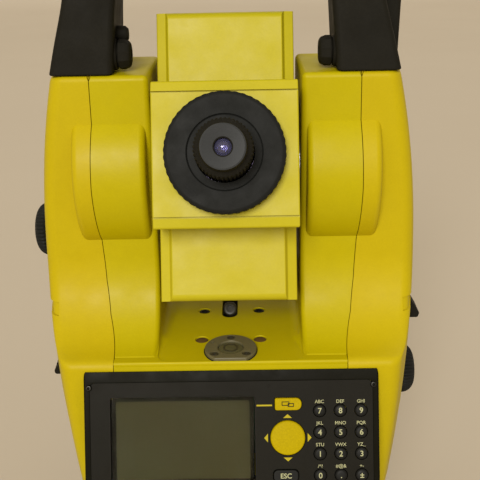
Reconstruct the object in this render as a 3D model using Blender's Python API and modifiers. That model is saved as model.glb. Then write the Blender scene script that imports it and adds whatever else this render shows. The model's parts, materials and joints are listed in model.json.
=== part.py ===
"""A surveying total station on its tribrach, as separate named pieces.

Lengths in this file are in millimetres, and the helpers turn them into Blender's metres. The origin is
on the vertical axis at the underside of the tribrach, +Z is up, and the observer stands on the -Y side.
Pieces on the telescope are placed in its own frame: origin on the tilting axis, -Y towards the eyepiece.
Pieces on the keypad are placed in the frame of its face: +X right, +Z up the face, -Y out of it.
"""

import math

import bpy
import bmesh
from mathutils import Matrix

MM = 0.001
CLEARANCE = 0.3

# The body of the alidade.
TILT_AXIS_Z = 240.0
BODY_TOP = 291.0
BODY_BOTTOM = 62.0
BODY_HALF_WIDTH = 94.0
WAIST_Z = 164.0
CORNER_RADIUS = 7.0
STANDARD_DEPTH = 27.8
LEDGE_DEPTH = 62.8
LEDGE_Z = 162.2
SWEEP_TOP = 203.0
SWEEP_STEPS = 7
WALL = 3.5
FORK_HALF_WIDTH = 35.0
FLOOR_Z = 161.7
FLOOR_DEPTH = 62.0
BOSS_RADIUS = 40.0
BOSS_INNER = 37.5
BOSS_OUTER = 72.0
SEAM_TOP = 62.0
SEAM_LEDGE = 55.9
GROOVE_Z = 164.0

# The telescope, measured along its own axis from the tilting axis.
TELESCOPE_TILT = math.radians(21.3)
TELESCOPE_HALF_WIDTH = 32.2
WING_FRONT = 32.7
WING_HALF_HEIGHT = 66.5
PLATE_HALF_HEIGHT = 32.3
BARREL_FRONT = 55.0
PLATE_FRONT = 59.5
FOCUS_RADIUS = 26.4
FOCUS_FRONT = 68.7
EYEPIECE_RADIUS = 12.5
EYEPIECE_FRONT = 92.8
OBJECTIVE_RADIUS = 24.0
OBJECTIVE_FRONT = 70.0
TRUNNION_RADIUS = 15.0

# The keypad.
PANEL_TILT = math.radians(21.3)
PANEL_TOP = (-65.0, 155.0)
PANEL_WIDTH = 139.0
PANEL_HEIGHT = 67.0
PANEL_THICKNESS = 3.0
FIRST_KEY = (41.8, 17.1)
KEY_PITCH = (9.8, 10.25)
FUNCTION_KEY_PITCH = 14.5
KEY_RADIUS = 2.85
DISPLAY_CENTRE = (-23.2, 3.4)
DISPLAY_SIZE = (68.6, 42.0)

# The side controls.
DRIVE_RADIUS = 13.8
VERTICAL_DRIVE_Z = 207.0
HORIZONTAL_DRIVE_Z = 119.6
DRIVE_OUTER = 101.2
TRIGGER_Z = 161.8
LATCH_Z = 127.3
LATCH_TRAVEL = 3.0
BATTERY_DOOR = (40.0, 78.0, 120.0)
DATA_DOOR = (20.0, 186.0, 224.0)

# The carrying handle.
HANDLE_TOP = 360.0
GRIP_UNDERSIDE = 336.5
HANDLE_SCREW = (-16.0, 299.0)

# The tribrach and the base.
TRIBRACH_TOP = 44.0
BASE_FLANGE_RADIUS = 43.0
FOOT_RADIUS = 55.0
SPINDLE_RADIUS = 14.0

# Directions in which a turned or flat piece can point its local +Z.
UP = (0.0, 0.0, 0.0)
RIGHT = (0.0, math.pi / 2, 0.0)
LEFT = (0.0, -math.pi / 2, 0.0)
TO_EYEPIECE = (math.pi / 2, 0.0, 0.0)
TO_OBJECTIVE = (-math.pi / 2, 0.0, 0.0)
SIDE_VIEW = (math.pi / 2, 0.0, math.pi / 2)

# Finishes: colour, roughness, metallic.
FINISHES = {
    "yellow_paint": ((0.62, 0.50, 0.01), 0.45, 0.0),
    "yellow_cover": ((0.58, 0.43, 0.012), 0.45, 0.0),
    "black_plastic": ((0.03, 0.029, 0.026), 0.5, 0.0),
    "black_rubber": ((0.018, 0.018, 0.018), 0.8, 0.0),
    "yellow_rubber": ((0.72, 0.5, 0.02), 0.6, 0.0),
    "grey_metal": ((0.33, 0.32, 0.28), 0.4, 0.8),
    "steel": ((0.55, 0.55, 0.55), 0.3, 1.0),
    "brass": ((0.55, 0.4, 0.15), 0.3, 1.0),
    "glass": ((0.5, 0.6, 0.62), 0.05, 0.0),
    "screen": ((0.09, 0.085, 0.055), 0.2, 0.0),
    "board": ((0.02, 0.12, 0.05), 0.6, 0.0),
}


def clear_scene():
    for obj in list(bpy.data.objects):
        bpy.data.objects.remove(obj)


def new_collection(name):
    collection = bpy.data.collections.new(name)
    bpy.context.scene.collection.children.link(collection)
    return collection


def make_finishes():
    made = {}
    for name, (colour, roughness, metallic) in FINISHES.items():
        finish = bpy.data.materials.new(name)
        finish.use_nodes = True
        shader = finish.node_tree.nodes["Principled BSDF"]
        shader.inputs["Base Color"].default_value = (*colour, 1.0)
        shader.inputs["Roughness"].default_value = roughness
        shader.inputs["Metallic"].default_value = metallic
        made[name] = finish
    return made


clear_scene()
PARTS = new_collection("total_station")
CUTTERS = new_collection("cutters")
MATERIALS = make_finishes()


def in_metres(point):
    return tuple(value * MM for value in point)


def empty(name, location, rotation=UP, parent=None):
    """A frame that moving pieces are parented to, with its origin on their axis."""
    frame = bpy.data.objects.new(name, None)
    frame.location = in_metres(location)
    frame.rotation_euler = rotation
    frame.parent = parent
    frame.empty_display_size = 0.02
    PARTS.objects.link(frame)
    return frame


def link_shape(name, mesh, location, rotation, parent):
    """A new object for the mesh, kept with the cutters until it becomes a piece."""
    obj = bpy.data.objects.new(name, mesh)
    obj.location = in_metres(location)
    obj.rotation_euler = rotation
    obj.parent = parent
    obj.hide_render = True
    obj.display_type = "WIRE"
    CUTTERS.objects.link(obj)
    return obj


def piece(obj, finish):
    """Makes the object one of the instrument's pieces."""
    CUTTERS.objects.unlink(obj)
    PARTS.objects.link(obj)
    obj.hide_render = False
    obj.display_type = "TEXTURED"
    obj.data.materials.clear()
    obj.data.materials.append(MATERIALS[finish])
    obj.data.shade_smooth()
    obj.data.set_sharp_from_angle(angle=math.radians(35))
    return obj


def block(name, size, location, rotation=UP, parent=None):
    bm = bmesh.new()
    bmesh.ops.create_cube(bm, size=1.0)
    bmesh.ops.scale(bm, vec=in_metres(size), verts=bm.verts)
    mesh = bpy.data.meshes.new(name)
    bm.to_mesh(mesh)
    bm.free()
    return link_shape(name, mesh, location, rotation, parent)


def cylinder(name, radius, low, high, location=(0, 0, 0), rotation=UP, parent=None, sides=40):
    """A cylinder whose axis runs from low to high along its local Z."""
    bm = bmesh.new()
    bmesh.ops.create_cone(
        bm, cap_ends=True, segments=sides, radius1=radius * MM, radius2=radius * MM, depth=(high - low) * MM
    )
    bmesh.ops.translate(bm, vec=(0, 0, (high + low) / 2 * MM), verts=bm.verts)
    mesh = bpy.data.meshes.new(name)
    bm.to_mesh(mesh)
    bm.free()
    return link_shape(name, mesh, location, rotation, parent)


def turned(name, profile, location=(0, 0, 0), rotation=UP, parent=None, sides=32, ring=False):
    """A shape turned about its local Z. The profile's (radius, height) points run down its outer side."""
    mesh = bpy.data.meshes.new(name)
    points = [(radius * MM, 0.0, height * MM) for radius, height in profile]
    edges = [(index, index + 1) for index in range(len(points) - 1)]
    if ring:
        edges.append((len(points) - 1, 0))
    mesh.from_pydata(points, edges, [])
    obj = link_shape(name, mesh, location, rotation, parent)
    screw = obj.modifiers.new("Turn", "SCREW")
    screw.steps = sides
    screw.render_steps = sides
    screw.use_merge_vertices = True
    screw.merge_threshold = 0.00001
    return obj


def flat(name, outlines, thickness, location=(0, 0, 0), rotation=UP, parent=None):
    """A plate of the first outline with the others as holes, its thickness shared about local Z = 0."""
    curve = bpy.data.curves.new(name, "CURVE")
    curve.dimensions = "2D"
    curve.fill_mode = "BOTH"
    curve.extrude = thickness / 2 * MM
    for outline in outlines:
        spline = curve.splines.new("POLY")
        spline.points.add(len(outline) - 1)
        for point, (x, y) in zip(spline.points, outline):
            point.co = (x * MM, y * MM, 0.0, 1.0)
        spline.use_cyclic_u = True
    guide = bpy.data.objects.new(name + "_outline", curve)
    CUTTERS.objects.link(guide)
    graph = bpy.context.evaluated_depsgraph_get()
    mesh = bpy.data.meshes.new_from_object(guide.evaluated_get(graph))
    bpy.data.objects.remove(guide)
    bm = bmesh.new()
    bm.from_mesh(mesh)
    bmesh.ops.remove_doubles(bm, verts=bm.verts, dist=0.000001)
    bmesh.ops.recalc_face_normals(bm, faces=bm.faces)
    bm.to_mesh(mesh)
    bm.free()
    mesh.name = name
    return link_shape(name, mesh, location, rotation, parent)


def combine(target, tool, operation):
    boolean = target.modifiers.new(operation.title(), "BOOLEAN")
    boolean.operation = operation
    boolean.object = tool
    return target


def cut(target, *tools):
    for tool in tools:
        combine(target, tool, "DIFFERENCE")
    return target


def join(target, *tools):
    for tool in tools:
        combine(target, tool, "UNION")
    return target


def soften(obj, width, segments=2, angle=40):
    """Rounds the edges that are sharper than the angle."""
    bevel = obj.modifiers.new("Edges", "BEVEL")
    bevel.width = width * MM
    bevel.segments = segments
    bevel.limit_method = "ANGLE"
    bevel.angle_limit = math.radians(angle)
    return obj


def rounded_rectangle(width, height, radius, centre=(0.0, 0.0), steps=2):
    """Points round a rectangle with rounded corners, counter-clockwise."""
    points = []
    for quarter in range(4):
        across = 1 if quarter in (0, 3) else -1
        up = 1 if quarter in (0, 1) else -1
        for step in range(steps + 1):
            angle = math.pi / 2 * (quarter + step / steps)
            x = centre[0] + across * (width / 2 - radius) + radius * math.cos(angle)
            y = centre[1] + up * (height / 2 - radius) + radius * math.sin(angle)
            points.append((x, y))
    return points


def circle(radius, centre=(0.0, 0.0), sides=12):
    turn = 2 * math.pi / sides
    return [
        (centre[0] + radius * math.cos(turn * step), centre[1] + radius * math.sin(turn * step))
        for step in range(sides)
    ]


def ribbed_circle(radius, depth, ribs):
    """An outline with one flat-topped rib in each share of the turn."""
    points = []
    for rib in range(ribs):
        for share, drop in ((0.0, depth), (0.2, 0.0), (0.6, 0.0), (0.8, depth)):
            angle = 2 * math.pi * (rib + share) / ribs
            points.append(((radius - drop) * math.cos(angle), (radius - drop) * math.sin(angle)))
    return points


# The alidade's body: a loft up the vertical axis, which is then split into yoke, covers and doors.


def half_width(z):
    """Half the body's width at height z, in the plane of the vertical and tilting axes."""
    rise = z - WAIST_Z
    if rise > 0:
        return BODY_HALF_WIDTH - 10.7 * (rise / 122) ** 2.6
    return BODY_HALF_WIDTH - 5.3 * (rise / 97) ** 2


def side_draw(y):
    """How far the side has curved in at distance y from the vertical plane of the tilting axis."""
    return 3.5 * (y / 27.5) ** 1.5


def body_levels(inset):
    """(height, half depth) of each level of the body, inset from the outside, from bottom to top."""
    deepest = LEDGE_DEPTH - inset
    levels = [
        (BODY_BOTTOM + inset, deepest - 9),
        (BODY_BOTTOM + 5 + inset, deepest - 5),
        (BODY_BOTTOM + 16 + inset, deepest - 2),
        (BODY_BOTTOM + 45, deepest),
        (BODY_BOTTOM + 75, deepest),
    ]
    for step in range(SWEEP_STEPS + 1):
        angle = math.pi / 2 * (1 - step / SWEEP_STEPS)
        drop = (SWEEP_TOP - LEDGE_Z + inset) * math.sin(angle)
        spread = (LEDGE_DEPTH - STANDARD_DEPTH) * (1 - math.cos(angle))
        depth = STANDARD_DEPTH + spread - inset * math.cos(angle)
        levels.append((SWEEP_TOP - drop, min(depth, deepest)))
    for z in (225, 250, 268, 281):
        levels.append((z, STANDARD_DEPTH - inset))
    levels.append((BODY_TOP - inset, STANDARD_DEPTH - inset))
    return levels


def plan_outline(z, depth, inset):
    """The body's plan at height z: curved sides, flat front and rear, rounded corners."""
    width = half_width(z) - inset
    radius = max(CORNER_RADIUS - inset, 2.0)
    straight = depth - radius
    side = [(width - side_draw(straight * share), straight * share) for share in (0.3, 0.6, 0.85)]
    centre_x = width - side_draw(straight) - radius
    corner = []
    for step in range(4):
        angle = math.pi / 6 * step
        corner.append((centre_x + radius * math.cos(angle), straight + radius * math.sin(angle)))
    quadrant = side + corner
    right_rear = [(width, 0.0)] + quadrant
    left_rear = [(-x, y) for x, y in reversed(quadrant)]
    front_left = [(-width, 0.0)] + [(-x, -y) for x, y in quadrant]
    front_right = [(x, -y) for x, y in reversed(quadrant)]
    return right_rear + left_rear + front_left + front_right


def body_loft(name, inset=0.0):
    bm = bmesh.new()
    rings = []
    for z, depth in body_levels(inset):
        outline = plan_outline(z, depth, inset)
        rings.append([bm.verts.new(in_metres((x, y, z))) for x, y in outline])
    for lower, upper in zip(rings, rings[1:]):
        count = len(lower)
        for index in range(count):
            following = (index + 1) % count
            bm.faces.new((lower[index], lower[following], upper[following], upper[index]))
    bm.faces.new(list(reversed(rings[0])))
    bm.faces.new(rings[-1])
    mesh = bpy.data.meshes.new(name)
    bm.to_mesh(mesh)
    bm.free()
    return link_shape(name, mesh, (0, 0, 0), UP, ALIDADE)


def bosses(target, inset=0.0):
    """Adds the round bosses over the tilting axis to the body, or to its hollow when inset."""
    for side, direction in ((-1, LEFT), (1, RIGHT)):
        boss = cylinder(
            f"boss_{side}_{inset:.0f}",
            BOSS_RADIUS - inset,
            BOSS_INNER,
            BOSS_OUTER - inset,
            (0, 0, TILT_AXIS_Z),
            direction,
            ALIDADE,
            48,
        )
        if not inset:
            soften(boss, 2.0)
        join(target, boss)
    return target


def seam_outline(side, gap):
    """Region of the front view outside the seam on one side, or inside both seams when side is 0."""
    if side:
        far = 130 * side
        near = side * gap
        return [
            (side * SEAM_LEDGE + near, 40),
            (side * SEAM_LEDGE + near, LEDGE_Z),
            (side * SEAM_TOP + near, TILT_AXIS_Z),
            (side * SEAM_TOP + near, 320),
            (far, 320),
            (far, 40),
        ]
    seam = [(SEAM_LEDGE, 40), (SEAM_LEDGE, LEDGE_Z), (SEAM_TOP, TILT_AXIS_Z), (SEAM_TOP, 320)]
    right = [(x - gap, z) for x, z in seam]
    return right + [(-x, z) for x, z in reversed(right)]


def keep_between_seams(target, side, gap=0.15):
    name = f"{target.name}_seam"
    region = flat(name, [seam_outline(side, gap)], 200, rotation=TO_EYEPIECE, parent=ALIDADE)
    return combine(target, region, "INTERSECT")


def yoke_frame():
    yoke = bosses(body_loft("yoke_frame"))
    keep_between_seams(yoke, 0)
    fork = flat(
        "fork_gap",
        [rounded_rectangle(2 * FORK_HALF_WIDTH, 2 * FLOOR_DEPTH, 6)],
        160,
        (0, 0, FLOOR_Z + 80),
        parent=ALIDADE,
    )
    bay = block("electronics_bay", (96, 92, 72), (0, 0, 112), parent=ALIDADE)
    front_opening = block("keypad_opening", (96, 40, 50), (0, -55, 122), parent=ALIDADE)
    spindle_bore = cylinder("spindle_bore", 26, 50, 80, parent=ALIDADE)
    axle_bore = cylinder("axle_bore", 20.3, -70, 70, (0, 0, TILT_AXIS_Z), RIGHT, ALIDADE)
    level_seat = cylinder("level_seat", 9, 150, 170, (0, -51.5, 0), parent=ALIDADE)
    cut(yoke, fork, bay, front_opening, spindle_bore, axle_bore, level_seat)
    for side in (-1, 1):
        plug_place = (side * 14.5, -40.1, 0)
        screw_place = (side * 14.6, -7.7, 0)
        cut(yoke, cylinder(f"plug_hole_{side}", 3.2, 158, 170, plug_place, parent=ALIDADE, sides=16))
        cut(yoke, cylinder(f"screw_hole_{side}", 3.0, 158, 170, screw_place, parent=ALIDADE, sides=16))
    return piece(yoke, "yellow_paint")


def drive_holes(cover, side):
    """Openings in a side cover for the controls that pass through it."""
    direction = RIGHT if side > 0 else LEFT
    drive_z = HORIZONTAL_DRIVE_Z if side > 0 else VERTICAL_DRIVE_Z
    cut(cover, cylinder(f"drive_hole_{side}", 7.0, 70, 110, (0, 0, drive_z), direction, ALIDADE, 32))
    groove_place = (side * (BODY_HALF_WIDTH + 2.6), 0, GROOVE_Z)
    groove = block(f"groove_{side}", (8, 160, 6), groove_place, parent=ALIDADE)
    return cut(cover, groove)


def door_region(name, side, half_depth, low, high, gap):
    """The block of the side view that a door fills, less the gap on every side."""
    size = (60, 2 * (half_depth - gap), high - low - 2 * gap)
    return block(name, size, (side * 104, 0, (low + high) / 2), parent=ALIDADE)


def side_cover(name, side, door):
    cover = bosses(body_loft(name))
    keep_between_seams(cover, side)
    hollow = bosses(body_loft(f"{name}_hollow", WALL), WALL)
    cut(cover, hollow)
    cut(cover, door_region(f"{name}_doorway", side, *door, 0.0))
    drive_holes(cover, side)
    if side > 0:
        cut(cover, block("trigger_slot", (60, 15.2, 14.6), (side * 104, -2, TRIGGER_Z), parent=ALIDADE))
    else:
        slot_size = (60, 16.6, 10.8 + LATCH_TRAVEL)
        slot_place = (side * 104, 0, LATCH_Z + LATCH_TRAVEL / 2)
        cut(cover, block("latch_slot", slot_size, slot_place, parent=ALIDADE))
    return piece(cover, "yellow_cover")


def door(name, side, region):
    """A door that fills its doorway and follows the cover's curve. It turns on the lower outer edge."""
    half_depth, low, high = region
    panel = body_loft(name)
    cut(panel, body_loft(f"{name}_hollow", WALL))
    combine(panel, door_region(f"{name}_region", side, half_depth, low, high, 0.4), "INTERSECT")
    hinge = (side * half_width(low), 0, low + 0.4)
    panel.data.transform(Matrix.Translation(in_metres(tuple(-value for value in hinge))))
    panel.location = in_metres(hinge)
    return piece(panel, "yellow_cover")


# Controls on the sides.


def drive_knob(name, side, z):
    """A ribbed knob with its shaft, on an axis along X."""
    direction = RIGHT if side > 0 else LEFT
    inner = half_width(z) + 0.6
    middle = (inner + DRIVE_OUTER) / 2
    outline = ribbed_circle(DRIVE_RADIUS, 0.7, 20)
    grip = flat(name, [outline], DRIVE_OUTER - inner, rotation=direction, parent=ALIDADE)
    grip.data.transform(Matrix.Translation((0, 0, middle * MM)))
    grip.location = in_metres((0, 0, z))
    shaft = cylinder(f"{name}_shaft", 5.0, 70, middle, (0, 0, z), direction, ALIDADE, 32)
    bottom, top = DRIVE_OUTER - 1.2, DRIVE_OUTER + 5
    dish = cylinder(f"{name}_dish", 9.5, bottom, top, (0, 0, z), direction, ALIDADE, 32)
    join(grip, shaft)
    cut(grip, dish)
    return piece(grip, "black_rubber")


def trigger_key():
    """A wedge-faced key on the right, which is pressed straight in."""
    outline = [(80, 7), (92.2, 7), (95.5, 7), (102, -4.5), (101.2, -7), (92.2, -7), (80, -7)]
    key = flat("trigger_key", [outline], 14.4, (0, -2, TRIGGER_Z), TO_EYEPIECE, ALIDADE)
    return piece(key, "black_plastic")


def battery_latch():
    outline = [(-84, 5), (-94, 5), (-96, 5), (-99.4, -3.5), (-99, -5), (-84, -5)]
    latch = flat("battery_latch", [outline], 16, (0, 0, LATCH_Z), TO_EYEPIECE, ALIDADE)
    return piece(latch, "black_plastic")


# Inside the alidade.


def axis_spindle():
    profile = [
        (0, 82),
        (34, 82),
        (34, 76.3),
        (25, 76.3),
        (25, 64.5),
        (SPINDLE_RADIUS, 64.5),
        (SPINDLE_RADIUS, 36),
        (10, 30),
        (0, 30),
    ]
    return piece(turned("axis_spindle", profile, parent=ALIDADE), "steel")


def bearing(name, side):
    direction = RIGHT if side > 0 else LEFT
    outer = 20.0
    inner = TRUNNION_RADIUS + CLEARANCE
    profile = [(inner, 60), (outer, 60), (outer, 37), (inner, 37)]
    ring = turned(name, profile, (0, 0, TILT_AXIS_Z), direction, ALIDADE, ring=True)
    return piece(ring, "brass")


def main_board():
    return piece(block("main_board", (88, 1.6, 60), (0, -38, 114), parent=ALIDADE), "board")


def battery():
    pack = block("battery", (18, 70, 36), (-69.5, 0, 99), parent=ALIDADE)
    return piece(soften(pack, 2.0), "black_plastic")


def circular_level():
    """The round level in the floor of the fork: a flange with a flat front, its cup and its glass."""
    flange = cylinder("circular_level", 12.6, 162.0, 163.6, (0, -51.5, 0), parent=ALIDADE)
    cup = cylinder("level_cup", 8.7, 152, 162.8, (0, -51.5, 0), parent=ALIDADE, sides=32)
    front = block("level_front", (40, 10, 10), (0, -51.5 - 15.3, 163), parent=ALIDADE)
    window = cylinder("level_window", 6.2, 163.0, 166, (0, -51.5, 0), parent=ALIDADE, sides=32)
    join(flange, cup)
    cut(flange, front, window)
    return piece(flange, "grey_metal")


# The keypad. Its face leans back, and its pieces are placed in the frame of that face.


def keypad_keys():
    """Name, outline, centre and finish of each key, in the frame of the keypad's face."""
    keys = []
    round_key = circle(KEY_RADIUS)
    rows = (("7", "8", "9"), ("4", "5", "6"), ("1", "2", "3"), ("0", "point", "sign"))
    for row, names in enumerate(rows):
        for column, name in enumerate(names):
            centre = (FIRST_KEY[0] + column * KEY_PITCH[0], FIRST_KEY[1] - row * KEY_PITCH[1])
            keys.append((f"key_{name}", round_key, centre, "black_rubber"))
    function_key = rounded_rectangle(9.5, 5.6, 2.2)
    for number in range(4):
        centre = (DISPLAY_CENTRE[0] + (number - 1.5) * FUNCTION_KEY_PITCH, -25.6)
        keys.append((f"function_key_{number + 1}", function_key, centre, "black_rubber"))
    keys.append(("page_key", rounded_rectangle(12.6, 5.8, 2.2), (27.0, 20.5), "yellow_rubber"))
    keys.append(("navigation_key", circle(8.2, sides=28), (26.6, 4.4), "yellow_rubber"))
    keys.append(("escape_key", rounded_rectangle(11.8, 5.7, 2.2), (25.5, -13.6), "black_rubber"))
    return keys


def grown(outline, gap):
    """The outline moved out by about the gap, away from its own centre."""
    moved = []
    for x, y in outline:
        length = math.hypot(x, y)
        moved.append((x * (1 + gap / length), y * (1 + gap / length)))
    return moved


def shifted(outline, centre):
    return [(x + centre[0], y + centre[1]) for x, y in outline]


def keypad_panel():
    holes = [shifted(grown(outline, 0.35), centre) for _, outline, centre, _ in keypad_keys()]
    display_hole = rounded_rectangle(*DISPLAY_SIZE, 1.5, DISPLAY_CENTRE)
    sheet = rounded_rectangle(PANEL_WIDTH - 5, PANEL_HEIGHT - 4, 2.5)
    panel = flat(
        "keypad_panel",
        [sheet, display_hole, *holes],
        PANEL_THICKNESS,
        (0, PANEL_THICKNESS / 2, 0),
        TO_EYEPIECE,
        KEYPAD,
    )
    return piece(panel, "black_plastic")


def keys():
    """Each key stands 1 mm proud of the panel and has room behind it for its travel."""
    length = PANEL_THICKNESS + 2.4
    made = []
    for name, outline, centre, finish in keypad_keys():
        location = (centre[0], length / 2 - 1.0, centre[1])
        key = flat(name, [outline], length, location, TO_EYEPIECE, KEYPAD)
        made.append(piece(soften(key, 0.4, 1, 60), finish))
    return made


def display():
    width, height = DISPLAY_SIZE
    x, z = DISPLAY_CENTRE
    window = flat(
        "display_window",
        [rounded_rectangle(width - 0.7, height - 0.7, 1.2)],
        1.4,
        (x, 1.2, z),
        TO_EYEPIECE,
        KEYPAD,
    )
    module = block("display_module", (width - 1.6, 3.0, height - 1.6), (x, 3.8, z), parent=KEYPAD)
    piece(window, "glass")
    piece(module, "screen")


def housing_outline():
    """Side view of the keypad's housing: back, bevel over the face, face, chin."""
    top_y, top_z = PANEL_TOP
    bottom_y = top_y - PANEL_HEIGHT * math.sin(PANEL_TILT)
    bottom_z = top_z - PANEL_HEIGHT * math.cos(PANEL_TILT)
    back = -LEDGE_DEPTH - CLEARANCE
    return [
        (back, top_z + 2.4),
        (top_y, top_z),
        (bottom_y, bottom_z),
        (bottom_y + 2.5, bottom_z - 6),
        (back - 14, bottom_z - 13),
        (back, bottom_z - 13),
    ]


def keyboard_housing():
    housing = flat("keyboard_housing", [housing_outline()], PANEL_WIDTH, rotation=SIDE_VIEW, parent=ALIDADE)
    soften(housing, 1.6, 2, 20)
    seat = flat(
        "panel_seat",
        [rounded_rectangle(PANEL_WIDTH - 4.3, PANEL_HEIGHT - 3.3, 2.8)],
        24,
        (0, 11, 0),
        TO_EYEPIECE,
        KEYPAD,
    )
    rear = block("housing_mouth", (92, 20, 46), (0, -62, 122), parent=ALIDADE)
    cut(housing, seat, rear)
    return piece(housing, "black_plastic")


def rear_housing():
    """The blank housing on the rear, where a second keypad would fit."""
    mirrored = [(-y, z) for y, z in reversed(housing_outline())]
    housing = flat("rear_housing", [mirrored], PANEL_WIDTH, rotation=SIDE_VIEW, parent=ALIDADE)
    soften(housing, 1.6, 2, 20)
    return piece(housing, "black_plastic")


# The carrying handle.


def handle_outline():
    """Front view of the handle: outside from right to left, then inside from left to right."""
    foot = BODY_TOP + CLEARANCE
    outside = [(79.5, foot), (73.0, 324), (68.5, 343), (61, 354.5), (50, HANDLE_TOP)]
    inside = [(39, GRIP_UNDERSIDE), (45.5, 333), (48.3, 325), (51.0, foot)]
    left_outside = [(-x, z) for x, z in reversed(outside)]
    left_inside = [(-x, z) for x, z in reversed(inside)]
    return outside + left_outside + left_inside + inside


def carry_handle():
    handle = flat("carry_handle", [handle_outline()], 60, rotation=TO_EYEPIECE, parent=ALIDADE)
    foot = BODY_TOP
    front = [(-15.0, HANDLE_TOP + 1), (-26.0, foot + 24), (-27.5, foot)]
    sides = front + [(27.5, foot), (25.0, foot + 14), (15.0, HANDLE_TOP + 1)]
    envelope = flat("handle_envelope", [sides], 200, rotation=SIDE_VIEW, parent=ALIDADE)
    combine(handle, envelope, "INTERSECT")
    soften(handle, 2.5, 3, 30)
    return piece(handle, "black_plastic")


def handle_screw(name, side):
    """A knurled screw on the inner side of the handle's foot."""
    direction = RIGHT if side < 0 else LEFT
    y, z = HANDLE_SCREW
    start = side * 49.3
    length = 6.1
    knob = flat(name, [ribbed_circle(7.0, 0.5, 10)], length, (start, y, z), direction, ALIDADE)
    knob.data.transform(Matrix.Translation((0, 0, length / 2 * MM)))
    return piece(knob, "black_plastic")


# The telescope.


def wing_plan():
    """The telescope's plan: chamfered strips run up the corners."""
    width = TELESCOPE_HALF_WIDTH
    quadrant = [(width, WING_FRONT - 4.5), (width - 5.7, WING_FRONT)]
    front = [(x, -t) for x, t in quadrant]
    front_left = [(-x, y) for x, y in reversed(front)]
    rear_left = [(x, -y) for x, y in reversed(front_left)]
    rear = [(x, -y) for x, y in reversed(front)]
    return front + front_left + rear_left + rear


def telescope_housing():
    housing = flat("telescope_housing", [wing_plan()], 2 * WING_HALF_HEIGHT, parent=TELESCOPE)
    soften(housing, 4.0, 3, 60)
    front = block(
        "front_barrel",
        (2 * TELESCOPE_HALF_WIDTH - 0.4, BARREL_FRONT, 2 * PLATE_HALF_HEIGHT - 9.2),
        (0, -BARREL_FRONT / 2, 0),
        parent=TELESCOPE,
    )
    rear = block(
        "rear_barrel",
        (2 * TELESCOPE_HALF_WIDTH - 0.4, 58, 2 * PLATE_HALF_HEIGHT - 4),
        (0, 29, 0),
        parent=TELESCOPE,
    )
    light_path = cylinder("light_path", 17, -80, 80, rotation=TO_EYEPIECE, parent=TELESCOPE)
    join(housing, front, rear)
    cut(housing, light_path)
    return piece(housing, "yellow_paint")


def telescope_front_plate():
    """The square cover that carries the focusing ring, with returns over and under the barrel."""
    depth = PLATE_FRONT - WING_FRONT - CLEARANCE
    plate = block(
        "telescope_front_plate",
        (2 * TELESCOPE_HALF_WIDTH, depth, 2 * PLATE_HALF_HEIGHT),
        (0, -PLATE_FRONT + depth / 2, 0),
        parent=TELESCOPE,
    )
    soften(plate, 0.8, 2, 60)
    hollow = block(
        "plate_hollow",
        (100, 40, 2 * PLATE_HALF_HEIGHT - 8.6),
        (0, -BARREL_FRONT - CLEARANCE + 20, 0),
        parent=TELESCOPE,
    )
    bore = cylinder("plate_bore", 17, 40, 80, rotation=TO_EYEPIECE, parent=TELESCOPE)
    cut(plate, hollow, bore)
    return piece(plate, "yellow_paint")


def focus_ring():
    radius = FOCUS_RADIUS
    back = PLATE_FRONT + CLEARANCE
    profile = [
        (12.9, FOCUS_FRONT - 0.6),
        (16.2, FOCUS_FRONT - 0.6),
        (16.2, FOCUS_FRONT),
        (radius - 1.4, FOCUS_FRONT),
        (radius, FOCUS_FRONT - 1.6),
        (radius, back),
        (16.6, back),
        (16.6, 48),
        (12.9, 48),
    ]
    ring = turned("focus_ring", profile, rotation=TO_EYEPIECE, parent=TELESCOPE, sides=48, ring=True)
    return piece(ring, "black_rubber")


def eyepiece():
    """The eyepiece and its tube, with a bored end for the eye lens."""
    radius = EYEPIECE_RADIUS
    profile = [
        (0, EYEPIECE_FRONT - 6),
        (3.6, EYEPIECE_FRONT - 6),
        (6.2, EYEPIECE_FRONT - 0.6),
        (8.6, EYEPIECE_FRONT),
        (9.6, EYEPIECE_FRONT - 0.5),
        (radius, EYEPIECE_FRONT - 8),
        (radius, FOCUS_FRONT + 0.3),
        (12.4, FOCUS_FRONT - 0.4),
        (12.4, 46),
        (0, 46),
    ]
    tube = turned("eyepiece", profile, rotation=TO_EYEPIECE, parent=TELESCOPE)
    return piece(tube, "black_plastic")


def objective():
    cell_profile = [
        (18.5, OBJECTIVE_FRONT),
        (OBJECTIVE_RADIUS, OBJECTIVE_FRONT),
        (OBJECTIVE_RADIUS, 58 + CLEARANCE),
        (16.6, 58 + CLEARANCE),
        (16.6, 40),
        (14.5, 40),
        (14.5, 60),
        (18.5, 60),
    ]
    cell = turned("objective_cell", cell_profile, rotation=TO_OBJECTIVE, parent=TELESCOPE, ring=True)
    lens_profile = [(0, 67.5), (8, 67.0), (14, 65.4), (18.2, 63.4), (18.2, 61), (0, 61)]
    lens = turned("objective_lens", lens_profile, rotation=TO_OBJECTIVE, parent=TELESCOPE)
    piece(cell, "black_plastic")
    piece(lens, "glass")


def optical_sight():
    """The open sight on the upper wing, a small tube on a foot."""
    top = WING_HALF_HEIGHT + CLEARANCE
    foot = block("optical_sight", (9, 26, 2.4), (0, 0, top + 1.2), parent=TELESCOPE)
    tube = block("sight_tube", (6, 26, 4.2), (0, 0, top + 3.4), parent=TELESCOPE)
    bore = block("sight_bore", (3.4, 40, 2.0), (0, 0, top + 3.6), parent=TELESCOPE)
    join(foot, tube)
    cut(foot, bore)
    return piece(foot, "black_plastic")


def trunnion(name, side):
    direction = RIGHT if side > 0 else LEFT
    radius = TRUNNION_RADIUS
    start = TELESCOPE_HALF_WIDTH + CLEARANCE
    profile = [(0, 63.2), (8, 63.2), (8, 61.2), (radius, 61.2), (radius, 36.5)]
    profile += [(18, 36.0), (18, start), (0, start)]
    return piece(turned(name, profile, rotation=direction, parent=TELESCOPE), "steel")


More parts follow.
